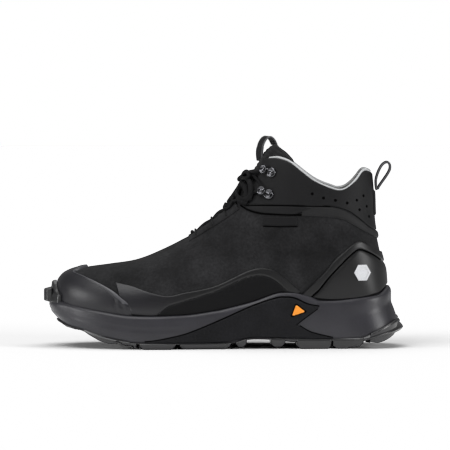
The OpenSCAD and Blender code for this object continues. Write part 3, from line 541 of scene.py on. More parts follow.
def lining():
    """Grey mesh lining, padded round the ankle and rolled over at the rim."""
    v = np.linspace(0, 1, 60)
    top = rim_s(v, 1.9)
    s = np.concatenate([np.linspace(8.03, NECK, 60)[:, None] + 0 * v,
                        NECK + np.linspace(0, 1, 50)[1:, None] * (top - NECK)])
    roll = np.clip((top - s) / 0.55, 0, 1)
    puff = 5.0 * ease((s - 13.6) / 1.6) * ease((0.8 - v) / 0.2) * np.sqrt(1 - (1 - roll) ** 2)
    parts = []
    for side in (1, -1):
        grids = [side_at(s, v, side, -SHELL - GAP - t - puff) for t in (0.0, CLOTH)]
        parts.append(shell_data(grids[0], grids[1], side > 0))
    s, q = np.meshgrid(np.linspace(0.3, 8, 60), np.linspace(30, 330, 60), indexing="ij")
    sock = [at(s, q, np.full(s.shape, -SHELL - GAP - t)) for t in (0, CLOTH)]
    parts.append(shell_data(sock[0], sock[1], True))
    verts, faces = join(parts)
    ob = make("lining", verts, faces, [LINING], "boot", ("bootie",), slot="lining")


lining()


def rim_path(n, d):
    """Path along the rim, from the front on the outer side round the heel to the front on the inner side."""
    v = np.linspace(0.99, 0.0, n)
    s = rim_s(v, 0.1)
    a, b = (side_at(s, v, side, np.full(n, d)) for side in (1, -1))
    return np.concatenate([a, b[::-1][1:]])


joined("collar_piping", [tube_data(rim_path(120, -SHELL / 2 - 0.1), 1.15, 16)], PIPING, ("collar_piping",),
       slot="piping")

# Collar panels with seam, stitch line and perforations; the perforations are dark discs of painted shade
PANEL_LOW = [[128.9, 99], [123.5, 101.8], [114, 109.6], [103, 116.8], [85, 120.6], [66, 115], [59, 113], [42, 113.4],
             [31, 114.2], [21.7, 116.6], [14.5, 120.6]]
PANEL_TOP = [[127.6, 143.5], [123.5, 148.5], [118, 149], [111, 140.6], [98, 133.6], [78, 140.6], [66, 149.2],
             [56, 156.8], [46, 160], [38, 160], [33.5, 157.8]]
PERFORATIONS = [[75, 130.6], [84.4, 127], [94.3, 125], [104, 122.7], [112, 125], [117.6, 128.6], [120.3, 119.6],
                [114.3, 116.8], [122.3, 110.8]]


def disc(x, z, side, d, r, h, n=24):
    """Small disc of n sides standing on the side surface."""
    c, nrm, ring = circle_at(x, z, side, d, n)
    rows = [c + ring * r, c + ring * r + nrm * h * 0.75, c + ring * (r - 0.25 * min(h, r)) + nrm * h]
    return stack(rows + [c + ring * r * k + nrm * h for k in (0.594, 0.297, 0.018)], n)


def collar_relief(u, v, s, q):
    """Seam that runs level along the collar in front of the heel."""
    p = skin(s, q)
    x, z = p[..., 0], p[..., 2]
    return -0.8 * ridge(z, 120.4 - 0.006 * (x - 60) ** 2 * (x > 60), 0.55) * (x > 18) * (x < 92)


for side, name in ((1, "collar_outer"), (-1, "collar_inner")):
    panel(name, side_spot(PANEL_LOW, PANEL_TOP, side), 240, 70, 0.0, 1.1, [COLLAR], (name,), 0.012, 0.03, side < 0,
          "collar", collar_relief)
    # Perforations: dark discs of painted shade standing where the holes are
    joined(name + "_painted_hole_shade", [disc(x, z, side, 1.0, 1.25, 0.22) for x, z in PERFORATIONS], DARK_BORDER_AND_SHADE, slot="collar")

BAND_TOP = [[129, 98], [123.5, 100.6], [114, 108.5], [103, 115.6], [95, 118.6], [84.6, 120], [74, 120.2], [66, 120]]
BAND_LOW = [[129.6, 92.5], [125, 95], [116.4, 99.8], [103, 107.7], [96, 109.8], [88.8, 110.8], [76, 111.4],
            [66, 111.8]]


def band_relief(u, v, s, q):
    """Soft roll with a stitched groove along each edge, flatter towards its ends."""
    back = ease((np.minimum(u, 1 - u) - 0.02) / 0.16)
    roll = 0.45 * np.sin(np.pi * v) - 0.4 * ridge(v, 0.1, 0.05) - 0.4 * ridge(v, 0.9, 0.05)
    return back * roll - 0.4 * (1 - back)


band = panel("ankle_band", wrap_spot(BAND_LOW, BAND_TOP), 260, 30, 0.1, 1.3, [BAND], ("ankle_band",), 0.01, 0.1, True,
             "collar", band_relief)

# Toe cap: angle and section number of its rear edge
CAP_EDGE = np.array([[0, 5.85], [68, 5.85], [88, 5.45], [98, 5.1], [108, 4.6], [122, 3.9], [140, 3.15], [152, 3.05],
                     [165, 3.4], [180, 3.85]])


def cap_spot(u, v):
    """From the tip of the toe (u = 0) back to the cap's edge, and round it from side to side (v)."""
    w = 1 - np.abs(2 * v - 1)
    line = smooth_line(CAP_EDGE, n=200)
    q = 38 + 142 * w
    s = 0.02 + (np.interp(q, line[:, 0], line[:, 1]) - 0.02) * u ** 1.3
    g = feather_q(s) + 1.0
    e = np.maximum(q, g + (180 - g) * w)
    return s, np.where(v > 0.5, 360 - e, e)


def cap_relief(u, v, s, q):
    """Thin raised edge at the top and three bending creases low on the sides."""
    p = skin(s, q)
    x, z = p[..., 0], p[..., 2]
    crease = sum(-0.7 * ridge(x + 0.35 * (z - 34) * 0.6, c, 0.7) for c in (-79.5, -84.5, -90))
    edge = ease((u - 0.955) / 0.01) * ease((0.40 - np.abs(v - 0.5)) / 0.06)
    return 0.45 * edge + crease * ease((46 - z) / 6)


# Cells along the cap's raised top edge take the lighter film, a painted highlight
panel("toe_cap", cap_spot, 110, 220, 0.0, 1.6, [FILM, CAP_EDGE_HIGHLIGHT], ("toe_cap",), 0.012, 0.004, True, "film", cap_relief,
      lambda u, v: (u > 0.972) & (np.abs(v - 0.5) < 0.36))

# Side overlays with an inner line and plain slanted ribs
OVERLAY_LOW = [[-80, 30], [-64, 28.6], [-56, 28.6], [-42, 29], [-24, 30.2], [-2, 33.8], [22, 39.6], [36, 44.4],
               [49, 48.2], [63, 46.6]]
OVERLAY_TOP = [[-91, 56], [-77, 53], [-62.5, 48], [-47, 44.9], [-32.7, 47.6], [-7, 53], [22, 66], [37, 67.4],
               [48.5, 62], [64.5, 48]]
OVERLAY_LINE = [[-58, 26], [-48.5, 35.4], [-40, 38.6], [-32.7, 40.8], [-7, 48.6], [0, 52], [20, 60.3], [34, 61.6],
                [46, 56], [60, 42]]
RIB_TURN = math.radians(25)


def off_line(line, x, z):
    """Signed distance from a line seen from the side, positive above it."""
    p = smooth_line(line, n=300)
    slope = np.interp(x, p[:, 0], np.gradient(p[:, 1]) / np.maximum(np.gradient(p[:, 0]), 1e-6))
    return (z - np.interp(x, p[:, 0], p[:, 1])) / np.sqrt(1 + slope ** 2)


def overlay_relief(u, v, s, q):
    """A row of plain ribs across the lower part, and a groove along the inner line."""
    p = skin(s, q)
    x, z = p[..., 0], p[..., 2]
    a = (x - 13) * math.cos(RIB_TURN) + (z - 54.5) * math.sin(RIB_TURN)
    b = (z - 54.5) * math.cos(RIB_TURN) - (x - 13) * math.sin(RIB_TURN)
    field = ease((16.5 - np.abs(a)) / 0.8) * ease((2.4 - np.abs(b)) / 0.7)
    ribs = ease((0.35 + np.cos(2 * np.pi * a / 5.2)) / 0.5) * field
    depth = off_line(OVERLAY_LINE, x, z)
    return 0.35 * ribs - 0.55 * ridge(depth, 0, 0.6) + 0.35 * ease(-depth / 1.5)


def upper_part(spot):
    """Cells of an overlay that lie above its inner line or in front of it."""
    def mask(u, v):
        p = skin(*spot(u, v))
        return (off_line(OVERLAY_LINE, p[..., 0], p[..., 2]) > -0.1) | (p[..., 0] < OVERLAY_LINE[0][0])
    return mask


for side, name in ((1, "overlay_outer"), (-1, "overlay_inner")):
    spot = side_spot(OVERLAY_LOW, OVERLAY_TOP, side)
    panel(name, spot, 300, 70, 0.0, 0.75, [OVERLAY, BAND_FILM], (name,), 0.006, 0.05, side < 0, "overlay",
          overlay_relief, upper_part(spot))

# Heel cup: raised outer band, groove and a smooth inner shield
CUP_TOP = [[134.9, 78.5], [128, 82.5], [120, 88], [112.6, 90], [100, 80.5], [92.7, 73.7], [85, 64], [67.5, 46.5]]
CUP_LOW = [[137.6, 53.6], [131, 47.2], [122, 44.6], [113, 43.2], [103, 42.2], [95, 41.6], [84, 42.2], [66, 45.2]]
CUP_LINE = [[70, 36], [74.3, 43.5], [81, 50], [88.7, 59.5], [99.8, 71.4], [109, 80.4], [114, 83.3], [120, 81.6],
            [126.7, 78], [132, 74], [140, 67]]


def cup_relief(u, v, s, q):
    """Groove along the line between the raised band and the smooth shield."""
    p = skin(s, q)
    depth = off_line(CUP_LINE, p[..., 0], p[..., 2])
    return -0.8 * ridge(depth, 0, 0.55) + 0.4 * ease((depth - 0.4) / 0.8) + 0.5 * ease((-depth - 0.5) / 3)


panel("heel_cup", wrap_spot(CUP_LOW, CUP_TOP), 300, 70, 0.0, 1.3, [CUP], ("heel_cup",), 0.006, 0.03, True, "film",
      cup_relief)


def hexagon(x, z, side, d, r, h):
    """Plain six-sided badge with a sunken middle."""
    c, nrm, ring = circle_at(x, z, side, d, 6)
    return stack([c + ring * r * k + nrm * h * g for k, g in ((1, 0), (1, 1), (0.72, 1), (0.72, 0.4))], 6)


joined("heel_badge", [hexagon(116.5, 64, 1, 1.9, 7.5, 0.7)], BADGE, ("heel_badge",), smooth=False, slot="badge",
       bevel=0.15)

# Side labels
LABEL_LOW, LABEL_TOP = [[34, 103.6], [48, 103.2], [62, 103.6]], [[34, 110.8], [48, 110.6], [62, 110.8]]
for side, name in ((1, "label_outer"), (-1, "label_inner")):
    cover = ("side_labels",) if side > 0 else ()
    panel(name, side_spot(LABEL_LOW, LABEL_TOP, side), 30, 12, 0.0, 0.8, [LABEL], cover, 0.04, 0.14, side < 0, "label")

# ---------------- lacing
def eyestay_spot(side):
    """Spot function of a narrow strip beside the lower part of the throat."""
    def spot(u, v):
        s = 8.02 + u * 2.6
        return s, side * (throat_q(s) - 13 + 12.6 * v)
    return spot


for side, name in ((1, "eyestay_outer"), (-1, "eyestay_inner")):
    cover = ("eyestays",) if side > 0 else ()
    panel(name, eyestay_spot(side), 60, 16, 0.0, 1.2, [SUEDE], cover, 0.03, 0.12, side < 0, "suede")

LACE_R = 1.35
# Rivet and hook head of each pair, in the side view
HOOKS = [[38.5, 129.5, 31.2, 133.4], [41.1, 147.9, 34, 151.6]]
# Section number and angle at which the lace turns round each hook
HOOK_SQ = [[float(c) for c in find(h[2] + 3.2, h[3] - 3.0)] for h in HOOKS]
# Section numbers of the keepers, and their path: degrees outwards from the throat edge, and height
KEEPERS = (8.35, 9.1, 9.85)
KEEPER_PATH = ((11, 0.5), (7, 0.7), (2, 0.7), (-1.5, 0.6), (-4, 0.3), (-5.6, -0.4), (-5.2, -1.1), (-3, -1.5),
               (1, -1.5))
keepers = []
for side in (1, -1):
    for s in KEEPERS:
        tq = float(throat_q(s))
        path = smooth_line([np.ravel(at(s, side * (tq - a), h)) for a, h in KEEPER_PATH], n=50)
        keepers.append(tube_data(path, 1.9, 12, 0.3, up=np.tile(np.array([0.75, 0, 0.66]), (50, 1))))
joined("lace_keepers", keepers, WEBBING, ("lace_keepers",), slot="lace")


def on_side(x, z, side, d):
    """Place at height d above a place of the side view."""
    s, q = find(x, z)
    return np.ravel(at(s, side * q, d))


def strand(s0, q0, s1, q1, lift, base=0.6, n=40):
    """Lace crossing between two places, arched by lift."""
    t = np.linspace(0, 1, n)
    return at(s0 + (s1 - s0) * t, q0 + (q1 - q0) * t, base + lift * np.sin(np.pi * t))


def sq_path(points, side, n=60):
    """Curve through places given as section, angle and height above the surface."""
    return smooth_line([np.ravel(at(p[0], side * p[1], p[2])) for p in points], n=n)


laces = [(strand(8.2, 171, 8.2, 189, 0.5), LACE_R, 1.0)]
for a, b in zip(KEEPERS, KEEPERS[1:]):
    ta, tb = float(throat_q(a)), float(throat_q(b))
    laces.append((strand(a + 0.06, ta + 5.5, b - 0.06, 354.5 - tb, -0.4, -0.7), LACE_R, 1.0))
    laces.append((strand(a + 0.06, 354.5 - ta, b - 0.06, tb + 5.5, 0.6, -0.7), LACE_R, 1.0))
top_q = float(throat_q(KEEPERS[-1]))
(s1, q1), (s2, q2) = HOOK_SQ
bow = []
for side in (1, -1):
    lift = 0.0 if side > 0 else 1.6
    for places in ([(9.9, top_q + 5, 0.0), (10.15, 168, 0.8), (10.45, 163, 2.2), (10.8, 158, 2.6),
                    (s1 - 0.25, q1 + 4, 3.0), (s1, q1 - 1, 3.0), (s1 + 0.2, q1 + 2, 3.0)],
                   [(s1 + 0.2, q1 + 2, 3.0), (s1 + 0.3, 163, 2.2), (11.9, 172, 0.4 + lift), (12.2, 180, 0.4 + lift),
                    (12.6, 188, 0.4 + lift), (s2 - 0.5, 360 - q2 - 8, 1.6), (s2 - 0.15, 360 - q2 - 3, 3.0)],
                   [(s2 - 0.15, q2 + 3, 3.0), (s2, q2 - 1, 3.0), (s2 - 0.3, q2 + 5, 3.2), (12.9, 164, 3.6),
                    (12.4, 172, 3.4), (12.0, 179, 3.2)]):
        laces.append((sq_path(places, side), LACE_R, 1.0))
    # Bow: a wide flat loop folded down on the flank, with a curl above, a ring below and a tucked tail
    for step, low in ((0.0, 0.0), (0.42, 1.0)):
        bow.append((sq_path([(11.95 - step, 176, 1.6 - low), (12.15 - step, 168, 2.8 - low),
                             (12.1 - step, 159, 4.4 - low),
                             (11.85 - step, 152.5, 4.6 - low), (11.5 - step, 149.5, 4.4 - low),
                             (11.15 - step * 0.4, 151, 4.2 - low), (10.95 - step * 0.3, 158, 3.4 - low),
                             (10.95, 166, 2.4 - low), (11.15, 172, 1.6 - low), (11.5, 176, 1.6 - low)], side),
                    2.4, 0.6))
    for places, r, flat in (
            ([(11.9, 178, 3.4), (12.25, 174, 4.6), (12.5, 169, 5.2), (12.4, 164, 5.2), (12.1, 164, 5.4),
              (11.95, 169, 5.6), (11.9, 175, 4.4)], 1.7, 0.8),
            ([(11.8, 177, 2.0), (11.65, 168, 2.2), (11.6, 160, 2.8), (11.5, 152, 3.2), (11.4, 148, 3.2)], 2.4, 0.5),
            ([(12.3, 175, 0.2), (11.9, 174, 0.2), (11.4, 173, 0.1), (10.9, 172, 0.0), (10.5, 171, -0.2)], 3.2, 0.5),
            ([(10.2, 175, 0.8), (10.5, 171, 1.8), (10.6, 166, 2.6), (10.4, 161, 2.4), (10.05, 161.5, 1.9),
              (9.9, 167, 1.4), (10.05, 173, 1.4)], 1.5, 0.9)):
        bow.append((sq_path(places, side), r, flat))
for name, cords in (("lace", laces), ("lace_bow", bow)):
    joined(name, [tube_data(p, r, 12, k) for p, r, k in cords], LACE, (name,), slot="lace")
knot = []
kc = np.ravel(at(11.85, 180, 3.0))
tt = np.linspace(0, 2 * np.pi, 40)
for tilt in (0.0, 0.7, -0.6):
    knot.append(np.stack([kc[0] + 2.3 * np.cos(tt) + tilt, kc[1] + 2.6 * np.sin(tt) * math.cos(tilt) + tilt,
                          kc[2] + 2.3 * np.cos(tt) * 0.4 + 2.4 * np.sin(tt) * math.sin(tilt)], -1))
joined("lace_knot", [tube_data(k, LACE_R, 12) for k in knot], LACE, ("lace_knot",), slot="lace")

# Radius and height shares of a turned head, from its rim inwards
HEAD = ((1.0, 0.0), (1.0, 0.6), (0.95, 0.9), (0.84, 1.0), (0.7, 0.85), (0.58, 0.45), (0.42, 0.35), (0.34, 0.55),
        (0.2, 0.7), (0.01, 0.72))


def turned(x, z, side, d, r, h, n=36):
    """Turned metal head of radius r and height h standing on the side surface."""
    c, nrm, ring = circle_at(x, z, side, d, n)
    return stack([c + ring * r * k + nrm * h * g for k, g in HEAD], n)


joined("rivets", [turned(h[0], h[1], side, 1.1, 4.3, 1.7) for side in (1, -1) for h in HOOKS], METAL, ("rivets",),
       slot="hardware")
for name, (rx, rz, hx, hz) in zip(("hooks_lower", "hooks_top"), HOOKS):
    bits = []
    hx, hz = hx + 1.8, hz - 1.8
    for side in (1, -1):
        bits.append(turned(hx, hz, side, 4.4, 3.6, 1.3))
        bits.append(disc(hx, hz, side, 1.2, 1.5, 3.6, 20))
        middle = ((rx + hx) / 2, (rz + hz) / 2)
        arm = [on_side(x, z, side, d) for (x, z), d in (((rx, rz), 1.5), (middle, 1.6), ((hx, hz), 1.7))]
        lift = [normal(find(x, z)[0], side * find(x, z)[1]) for x, z in ((rx, rz), (hx, hz))]
        bits.append(tube_data(smooth_line(arm, n=16), 2.1, 12, 0.3, up=np.linspace(lift[0], lift[1], 16)))
    joined(name, bits, METAL, (name,), slot="hardware")

# ---------------- tongue and pulls
def tongue_d(s, q):
    """Height of the tongue's middle layer: deeper under the sides of the boot than in the throat."""
    mid = -1.4 + 0.9 * ease((11 - s) / 1.5)
    return -4.9 + (mid + 4.9) * ease((180 - throat_q(s) + 3 - np.abs(q - 180)) / 9 - 0.45)


def tongue():
    """Padded tongue, wider and thicker towards its top, with a seam round it."""
    u, v = np.meshgrid(spread(110, 0.03), spread(60, 0.06), indexing="ij")
    half = 34 + 16 * ease((u - 0.55) / 0.35)
    q = 180 + half * (2 * v - 1)
    s = 8.12 + (17.15 - 0.55 * np.abs((q - 180) / 36) ** 1.6 - 8.12) * u
    d = tongue_d(s, q)
    e = round_edge(u, v, 0.03, 0.06)
    thick = 2 + 3 * ease(u * 2)
    quilt = 0.5 * ridge((s * 2) % 1.0, 0.5, 0.3) * (u > 0.3)
    mid = d - thick / 2
    seam = -0.7 * ridge(u, 0.965, 0.006) - 0.6 * (ridge(v, 0.1, 0.012) + ridge(v, 0.9, 0.012))
    outer = at(s, q, mid + (thick / 2 + quilt + seam) * e)
    inner = at(s, q, mid - thick / 2 * e)
    vv, ff = shell_data(outer, inner, True)
    ob = make("tongue", vv, ff, [TONGUE], "tongue", ("tongue",), slot="collar")


tongue()


def webbing(name, path, w, t, body, cover, yaw=0.0):
    """Flat folded webbing in the XZ plane with rolled edges, turned about a vertical line through its first point."""
    p = smooth_line(path, n=90)
    d = np.gradient(p, axis=0)
    d /= np.linalg.norm(d, axis=1, keepdims=True)
    nrm = np.stack([-d[:, 1], d[:, 0]], -1)
    ys = np.array([-0.5, -0.47, -0.43, -0.40, -0.2, 0, 0.2, 0.40, 0.43, 0.47, 0.5]) * w
    th = np.array([0.35, 0.95, 1.15, 0.95, 1, 1, 1, 0.95, 1.15, 0.95, 0.35]) * t / 2
    top, low = (np.stack([np.stack([p[:, 0] + nrm[:, 0] * h, np.full(len(p), y), p[:, 1] + nrm[:, 1] * h], -1)
                          for y, h in zip(ys, sign * th)], 1) for sign in (1, -1))
    vv, ff = shell_data(top, low, False)
    c, k = math.cos(math.radians(yaw)), math.sin(math.radians(yaw))
    x, y = vv[:, 0] - path[0][0], vv[:, 1].copy()
    vv[:, 0], vv[:, 1] = path[0][0] + c * x - k * y, k * x + c * y
    edge = (np.abs(ys[:-1] + ys[1:]) / 2 > 0.42 * w).astype(int)
    n = (len(p) - 1) * (len(ys) - 1)
    fm = np.ones(len(ff), int)
    fm[:2 * n] = np.tile(edge, 2 * (len(p) - 1))
    make(name, vv, ff, [WEBBING, WEB_EDGE], body, cover, fm, slot="webbing")


TONGUE_LOOP = [[31.2, 157.6], [30.6, 163], [31, 168], [32.4, 172.6], [34.8, 176.2], [37.6, 177.8], [40.2, 177],
               [42.4, 174.6], [44.2, 171]]
HEEL_LOOP = [[130.0, 133.0], [129.4, 137], [129.5, 142], [131.3, 148], [134.6, 154], [138.4, 156.4], [141, 154.6],
             [141.2, 150.4], [138.6, 145.4], [134.3, 139.2], [131.7, 135.4], [131.1, 133.6]]
webbing("tongue_loop", TONGUE_LOOP, 13, 1.3, "tongue_pull", ("tongue_loop",), 22)
webbing("heel_loop", HEEL_LOOP, 13, 1.3, "heel_pull", ("heel_loop",))


panel("heel_tab", lambda u, v: (16.15 + 0.95 * v, 12 * (1 - 2 * u)), 20, 16, 1.2, 2.2, [WEBBING], ("heel_tab",), 0.06,
      0.08, False, "webbing")

# ---------------- sole
# The outline of the sole is one loop of stations, from the toe along the outer side to the heel and back inside
SOLE_S = np.array([0.06, 0.3, 0.65, 1.1, 1.7, 2.5, 3.4, 4.4, 5.4, 6.4, 7.4, 8.4, 9.4, 10.4, 11.2, 11.8, 12.3, 12.7,
                   13.0, 13.2, 13.35, 13.48, 13.58, 13.65, 13.7])
N_HALF = 300
ss = np.interp(np.linspace(0, 24, N_HALF), np.arange(25), SOLE_S)
qq = feather_q(ss)
LS, LQ = np.concatenate([ss, ss[::-1]]), np.concatenate([qq, -qq[::-1]])
LP, LN = skin(LS, LQ), normal(LS, LQ)
LN[:, 2] = 0
LN /= np.linalg.norm(LN, axis=1, keepdims=True)
LX = LP[:, 0]
RIM_W, WALL_W = 3.4, 4.6  # how far the top edge and the middle of the midsole wall stand out


def flare(x):
    """How far the sole stands out behind the heel."""
    return 10.7 * ease((x - 96) / 40)


def toe_tuck(x):
    """Share by which the sole is drawn in below the toe."""
    return ease((-118 - x) / 24)


def out_ring(k, z):
    """Loop at distance k outside the outline."""
    p = LP + np.reshape(k, (-1, 1)) * LN
    p[:, 2] = z
    return p


def in_ring(fx, fy, z):
    """Loop inside the outline, made shorter by fx and narrower by fy."""
    m = (LP[:, 1] + LP[::-1, 1]) / 2
    return np.stack([LP[:, 0] * fx, m + (LP[:, 1] - m) * fy, z], -1)


def rings(loops):
    """Closed solid from loops, with its first and last loop closed from side to side."""
    n = len(loops[0])
    v = np.concatenate(loops)
    f = list(grid_faces(len(loops), n, 0, True, wrap=True))
    h = n // 2
    f += [[i, n - 1 - i, n - 2 - i, i + 1] for i in range(h - 1)]
    b = (len(loops) - 1) * n
    f += [[b + i, b + i + 1, b + n - 2 - i, b + n - 1 - i] for i in range(h - 1)]
    return v, f


F, PT, WB = feather(LX), parting(LX), web(LX)
FL = flare(LX)


def wall_k(t, x, fl):
    """Outward offset of the midsole wall at share t from the feather line to the parting line."""
    t = np.asarray(t, float)
    base = np.interp(t, [0, 0.05, 0.12, 0.4, 0.6, 0.8, 0.93, 1], [
        RIM_W - 0.8, RIM_W + 0.2, RIM_W + 0.7, WALL_W, WALL_W + 0.1, WALL_W - 0.1, WALL_W - 0.6, RIM_W + 0.1])
    toe = ease((-128 - x) / 12) * np.interp(t, [0, 0.1, 0.25, 0.6, 0.8, 1], [1.5, 3.2, 3.6, 2.4, 0.2, -1.0])
    tuck = 3.2 * toe_tuck(x) * t ** 1.5 - toe
    groove = 0.25 * ridge(t, 0.5, 0.04) * ease((-20 - x) / 30)
    return base - tuck - groove + fl * np.interp(t, [0, 0.4, 0.8, 1], [0.1, 0.02, 0.46, 0.68])


loops = [at(LS, LQ * f, np.full(len(LS), 0.6)) for f in (0.1, 0.3, 0.5, 0.7, 0.85, 0.96)]
loops.append(out_ring(0.7, F + 0.2))
loops.append(out_ring(1.6, F + 0.3))
for t in (0, 0.02, 0.05, 0.09, 0.14, 0.2, 0.27, 0.34, 0.42, 0.5, 0.58, 0.66, 0.74, 0.82, 0.9, 0.96, 1):
    loops.append(out_ring(wall_k(t, LX, FL), F - 0.3 + (PT - F) * t))
loops += [in_ring(0.97, 0.6, PT), in_ring(0.94, 0.05, PT)]
joined("midsole", [rings(loops)], FOAM, ("midsole",), slot="midsole_foam")

loops = [in_ring(0.94, 0.05, PT - 0.1), in_ring(0.97, 0.6, PT - 0.1)]
for k, share, t in ((RIM_W, 0.68, 0), (RIM_W + 0.9, 0.72, 0.03), (RIM_W + 1.3, 0.8, 0.15), (WALL_W + 0.2, 0.95, 0.45),
                    (WALL_W, 1.0, 0.6), (RIM_W + 0.2, 1.0, 0.85), (RIM_W - 0.8, 1.0, 1.0)):
    loops.append(out_ring(k + share * FL - 3.6 * toe_tuck(LX), PT - 0.1 + (WB - PT) * t))
loops += [in_ring(0.96, 0.6, WB), in_ring(0.93, 0.05, WB)]
joined("outsole", [rings(loops)], RUBBER, ("outsole",), slot="outsole_rubber")


def strip_lug(i0, i1, reach, base, out=0.5, rise=0.75, taper=2.4):
    """Lug that follows the outline between two loop stations and reaches inwards; base is its height or the tread."""
    idx = np.linspace(i0, i1, 22)
    k = np.arange(len(LX))
    px = np.stack([np.interp(idx, k, LP[:, c]) for c in range(3)], -1)
    nx = np.stack([np.interp(idx, k, LN[:, c]) for c in range(3)], -1)
    x = px[:, 0]
    fl = flare(x)
    rows = []
    ko = (WALL_W + fl * 0.95 - 3.6 * toe_tuck(x))[:, None]
    ex = (px + ko * nx)[:, 0]
    zb = tread(ex) if base is None else np.full(len(x), base)
    from_end = np.minimum(np.arange(len(x)), len(x) - 1 - np.arange(len(x))) * np.abs(x[-1] - x[0]) / (len(x) - 1)
    zb = zb + 2.3 * ease(1 - from_end / 3.2)
    zt = web(ex) + rise * (parting(ex) - web(ex))
    zi = web(ex) + 0.8
    ko = ko + out
    for kk, z in ((ko - 0.9, zt), (ko, zt - 1.2), (ko - taper, zb), (ko - reach + taper, zb), (ko - reach, zi)):
        p = px + kk * nx
        p[:, 2] = z
        rows.append(p)
    v = np.stack(rows, 1).reshape(-1, 3)
    n = len(rows)
    f = list(grid_faces(len(idx), n, 0, True, wrap=True))
    return v, f + [list(range(n)), [(len(idx) - 1) * n + j for j in range(n)][::-1]]


OUT_X = (LP + (WALL_W + FL * 0.95)[:, None] * LN)[:, 0]


def loop_at(x, side):
    """Loop station on one side at which the tread outline reaches x."""
    if side > 0:
        return float(np.interp(x, OUT_X[:N_HALF], np.arange(N_HALF)))
    return float(np.interp(-x, -OUT_X[N_HALF:], np.arange(N_HALF, 2 * N_HALF)))


def edge_lugs(name, spans, sides, extra=()):
    """Row of lugs; spans lists the x of both ends, the reach and the base of each."""
    bits = [strip_lug(loop_at(x0 if side > 0 else x1, side), loop_at(x1 if side > 0 else x0, side), reach, base)
            for side in sides for x0, x1, reach, base in spans]
    joined(name, bits + list(extra), RUBBER, (name,), slot="outsole_rubber", bevel=0.7, sharp=30)


def block(corners, base=None):
    """Tapered lug with the given corners."""
    c = np.asarray(corners, float)
    m = c.mean(0)
    low = m + (c - m) * 0.88
    n = len(c)
    zb = tread(low[:, 0]) if base is None else np.full(n, base)
    v = np.concatenate([np.column_stack([low, zb]), np.column_stack([c, web(c[:, 0]) + 0.8])])
    walls = [[i, (i + 1) % n, n + (i + 1) % n, n + i] for i in range(n)]
    return v, [list(range(n))[::-1], [n + i for i in range(n)]] + walls


def chevron(x, sweep, length, half, base=None):
    """Two lugs that form an arrow pointing to the toe."""
    bits = []
    for side in (1, -1):
        a, d = [x, side * 0.7], [x + length, side * 0.7]
        b, c = [x + sweep, side * half], [x + sweep + length, side * half]
        bits.append(block([a, b, c, d] if side > 0 else [a, d, c, b], base))
    return bits


FOREFOOT = [(-88, -73.5, 17, None), (-70.5, -40.5, 18, 0), (-36.5, 6, 18, 0.5), (10.6, 19.5, 13, 1.8)]
edge_lugs("lugs_toe", [(-138, -121.5, 13, None), (-118, -90, 15, None)], (1, -1), chevron(-119, 4, 13, 19))
edge_lugs("lugs_outer", FOREFOOT, (1,))
edge_lugs("lugs_inner", FOREFOOT, (-1,))
edge_lugs("lugs_centre", (), (),
          [b for x in (-92, -68, -44, -20) for b in chevron(x - 4, 9, 12, 22, None if x < -80 else 0)])
edge_lugs("lugs_heel", [(40, 52, 13, 2), (62, 91, 17, 0), (92.5, 118, 16, None), (124, 148, 14, None)], (1, -1),
          chevron(60, 8, 15, 14, 0) + chevron(93, 7, 13, 13))

def beside(s, q, k, z):
    """Place at the level distance k from the surface, at height z."""
    p, n = skin(s, q), normal(s, q)
    h = np.hypot(n[..., 0], n[..., 1])
    return np.stack([p[..., 0] + k * n[..., 0] / h, p[..., 1] + k * n[..., 1] / h, z + 0 * h], -1)


# Toe bumper and toe lugs
TOE_ARC = np.array([1.9, 1.3, 0.8, 0.4, 0.1])
TOE_Q = feather_q(TOE_ARC)


def toe_at(t, k, z):
    """Place at share t of the way round the toe and distance k outside it."""
    a = np.abs(2 * t - 1) * 4
    s = np.interp(a, [0, 1, 2, 3, 4], TOE_ARC[::-1])
    q = np.interp(a, [0, 1, 2, 3, 4], TOE_Q[::-1]) * np.where(t < 0.5, 1, -1)
    return beside(s, q, k, z)


def bumper():
    """Rubber that wraps up over the toe, thicker in the middle."""
    u, v = np.meshgrid(spread(80, 0.03), spread(24, 0.08), indexing="ij")
    e = np.abs(2 * u - 1)
    z = (37.5 - 0.5 * e) * (1 - v) + (56 - 12 * e) * v
    r = round_edge(u, v, 0.03, 0.08)
    inner = 2.0 + 2.4 * ease((0.25 - v) / 0.25)
    outer = 4.6 + (3.2 - 2.6 * ease((v - 0.1) / 0.9)) * (1 - 0.7 * ease((e - 0.45) / 0.5))
    vv, ff = shell_data(toe_at(u, inner + (outer - inner) * r, z), toe_at(u, inner - 0.3, z), True)
    make("toe_bumper", vv, ff, [RUBBER], "boot", ("toe_bumper",), slot="outsole_rubber")


bumper()
u, v = np.meshgrid(np.linspace(0, 1, 5), np.linspace(0, 1, 2), indexing="ij")
joined("toe_lugs", [shell_data(toe_at(c + (u - 0.5) * 0.13, k, 39 + 9.5 * v),
                               toe_at(c + (u - 0.5) * 0.15, 6.4, 37.5 + 12.5 * v), True)
                    for c, k in ((0.3, 10.5), (0.5, 12.1), (0.7, 10.5))],
       RUBBER, ("toe_lugs",), slot="outsole_rubber", bevel=0.6)

# Side plates and coloured inserts on the midsole wall
PLATE_TOP = [[-66, 6.4], [-57, 7.4], [-38, 11.4], [-24, 16], [0, 26], [24, 36.5], [43, 42.8], [52, 43.8], [60, 42.8],
             [71, 37.8], [80.5, 36]]
PLATE_LOW = [[-66, 5.8], [-57, 5.8], [-38, 5.8], [-24, 5.8], [0, 5.8], [22, 9.4], [36, 9.6], [46, 9.6], [54, 13],
             [63.5, 22.4], [79, 34]]
TAIL_TOP = [[40, 24], [50, 24], [58, 22], [64, 19.5], [74, 13.9], [92, 9.2]]
TAIL_LOW = [[40, 9.6], [50, 9.3], [58, 9.2], [66, 9.1], [76, 9.0], [92, 8.8]]


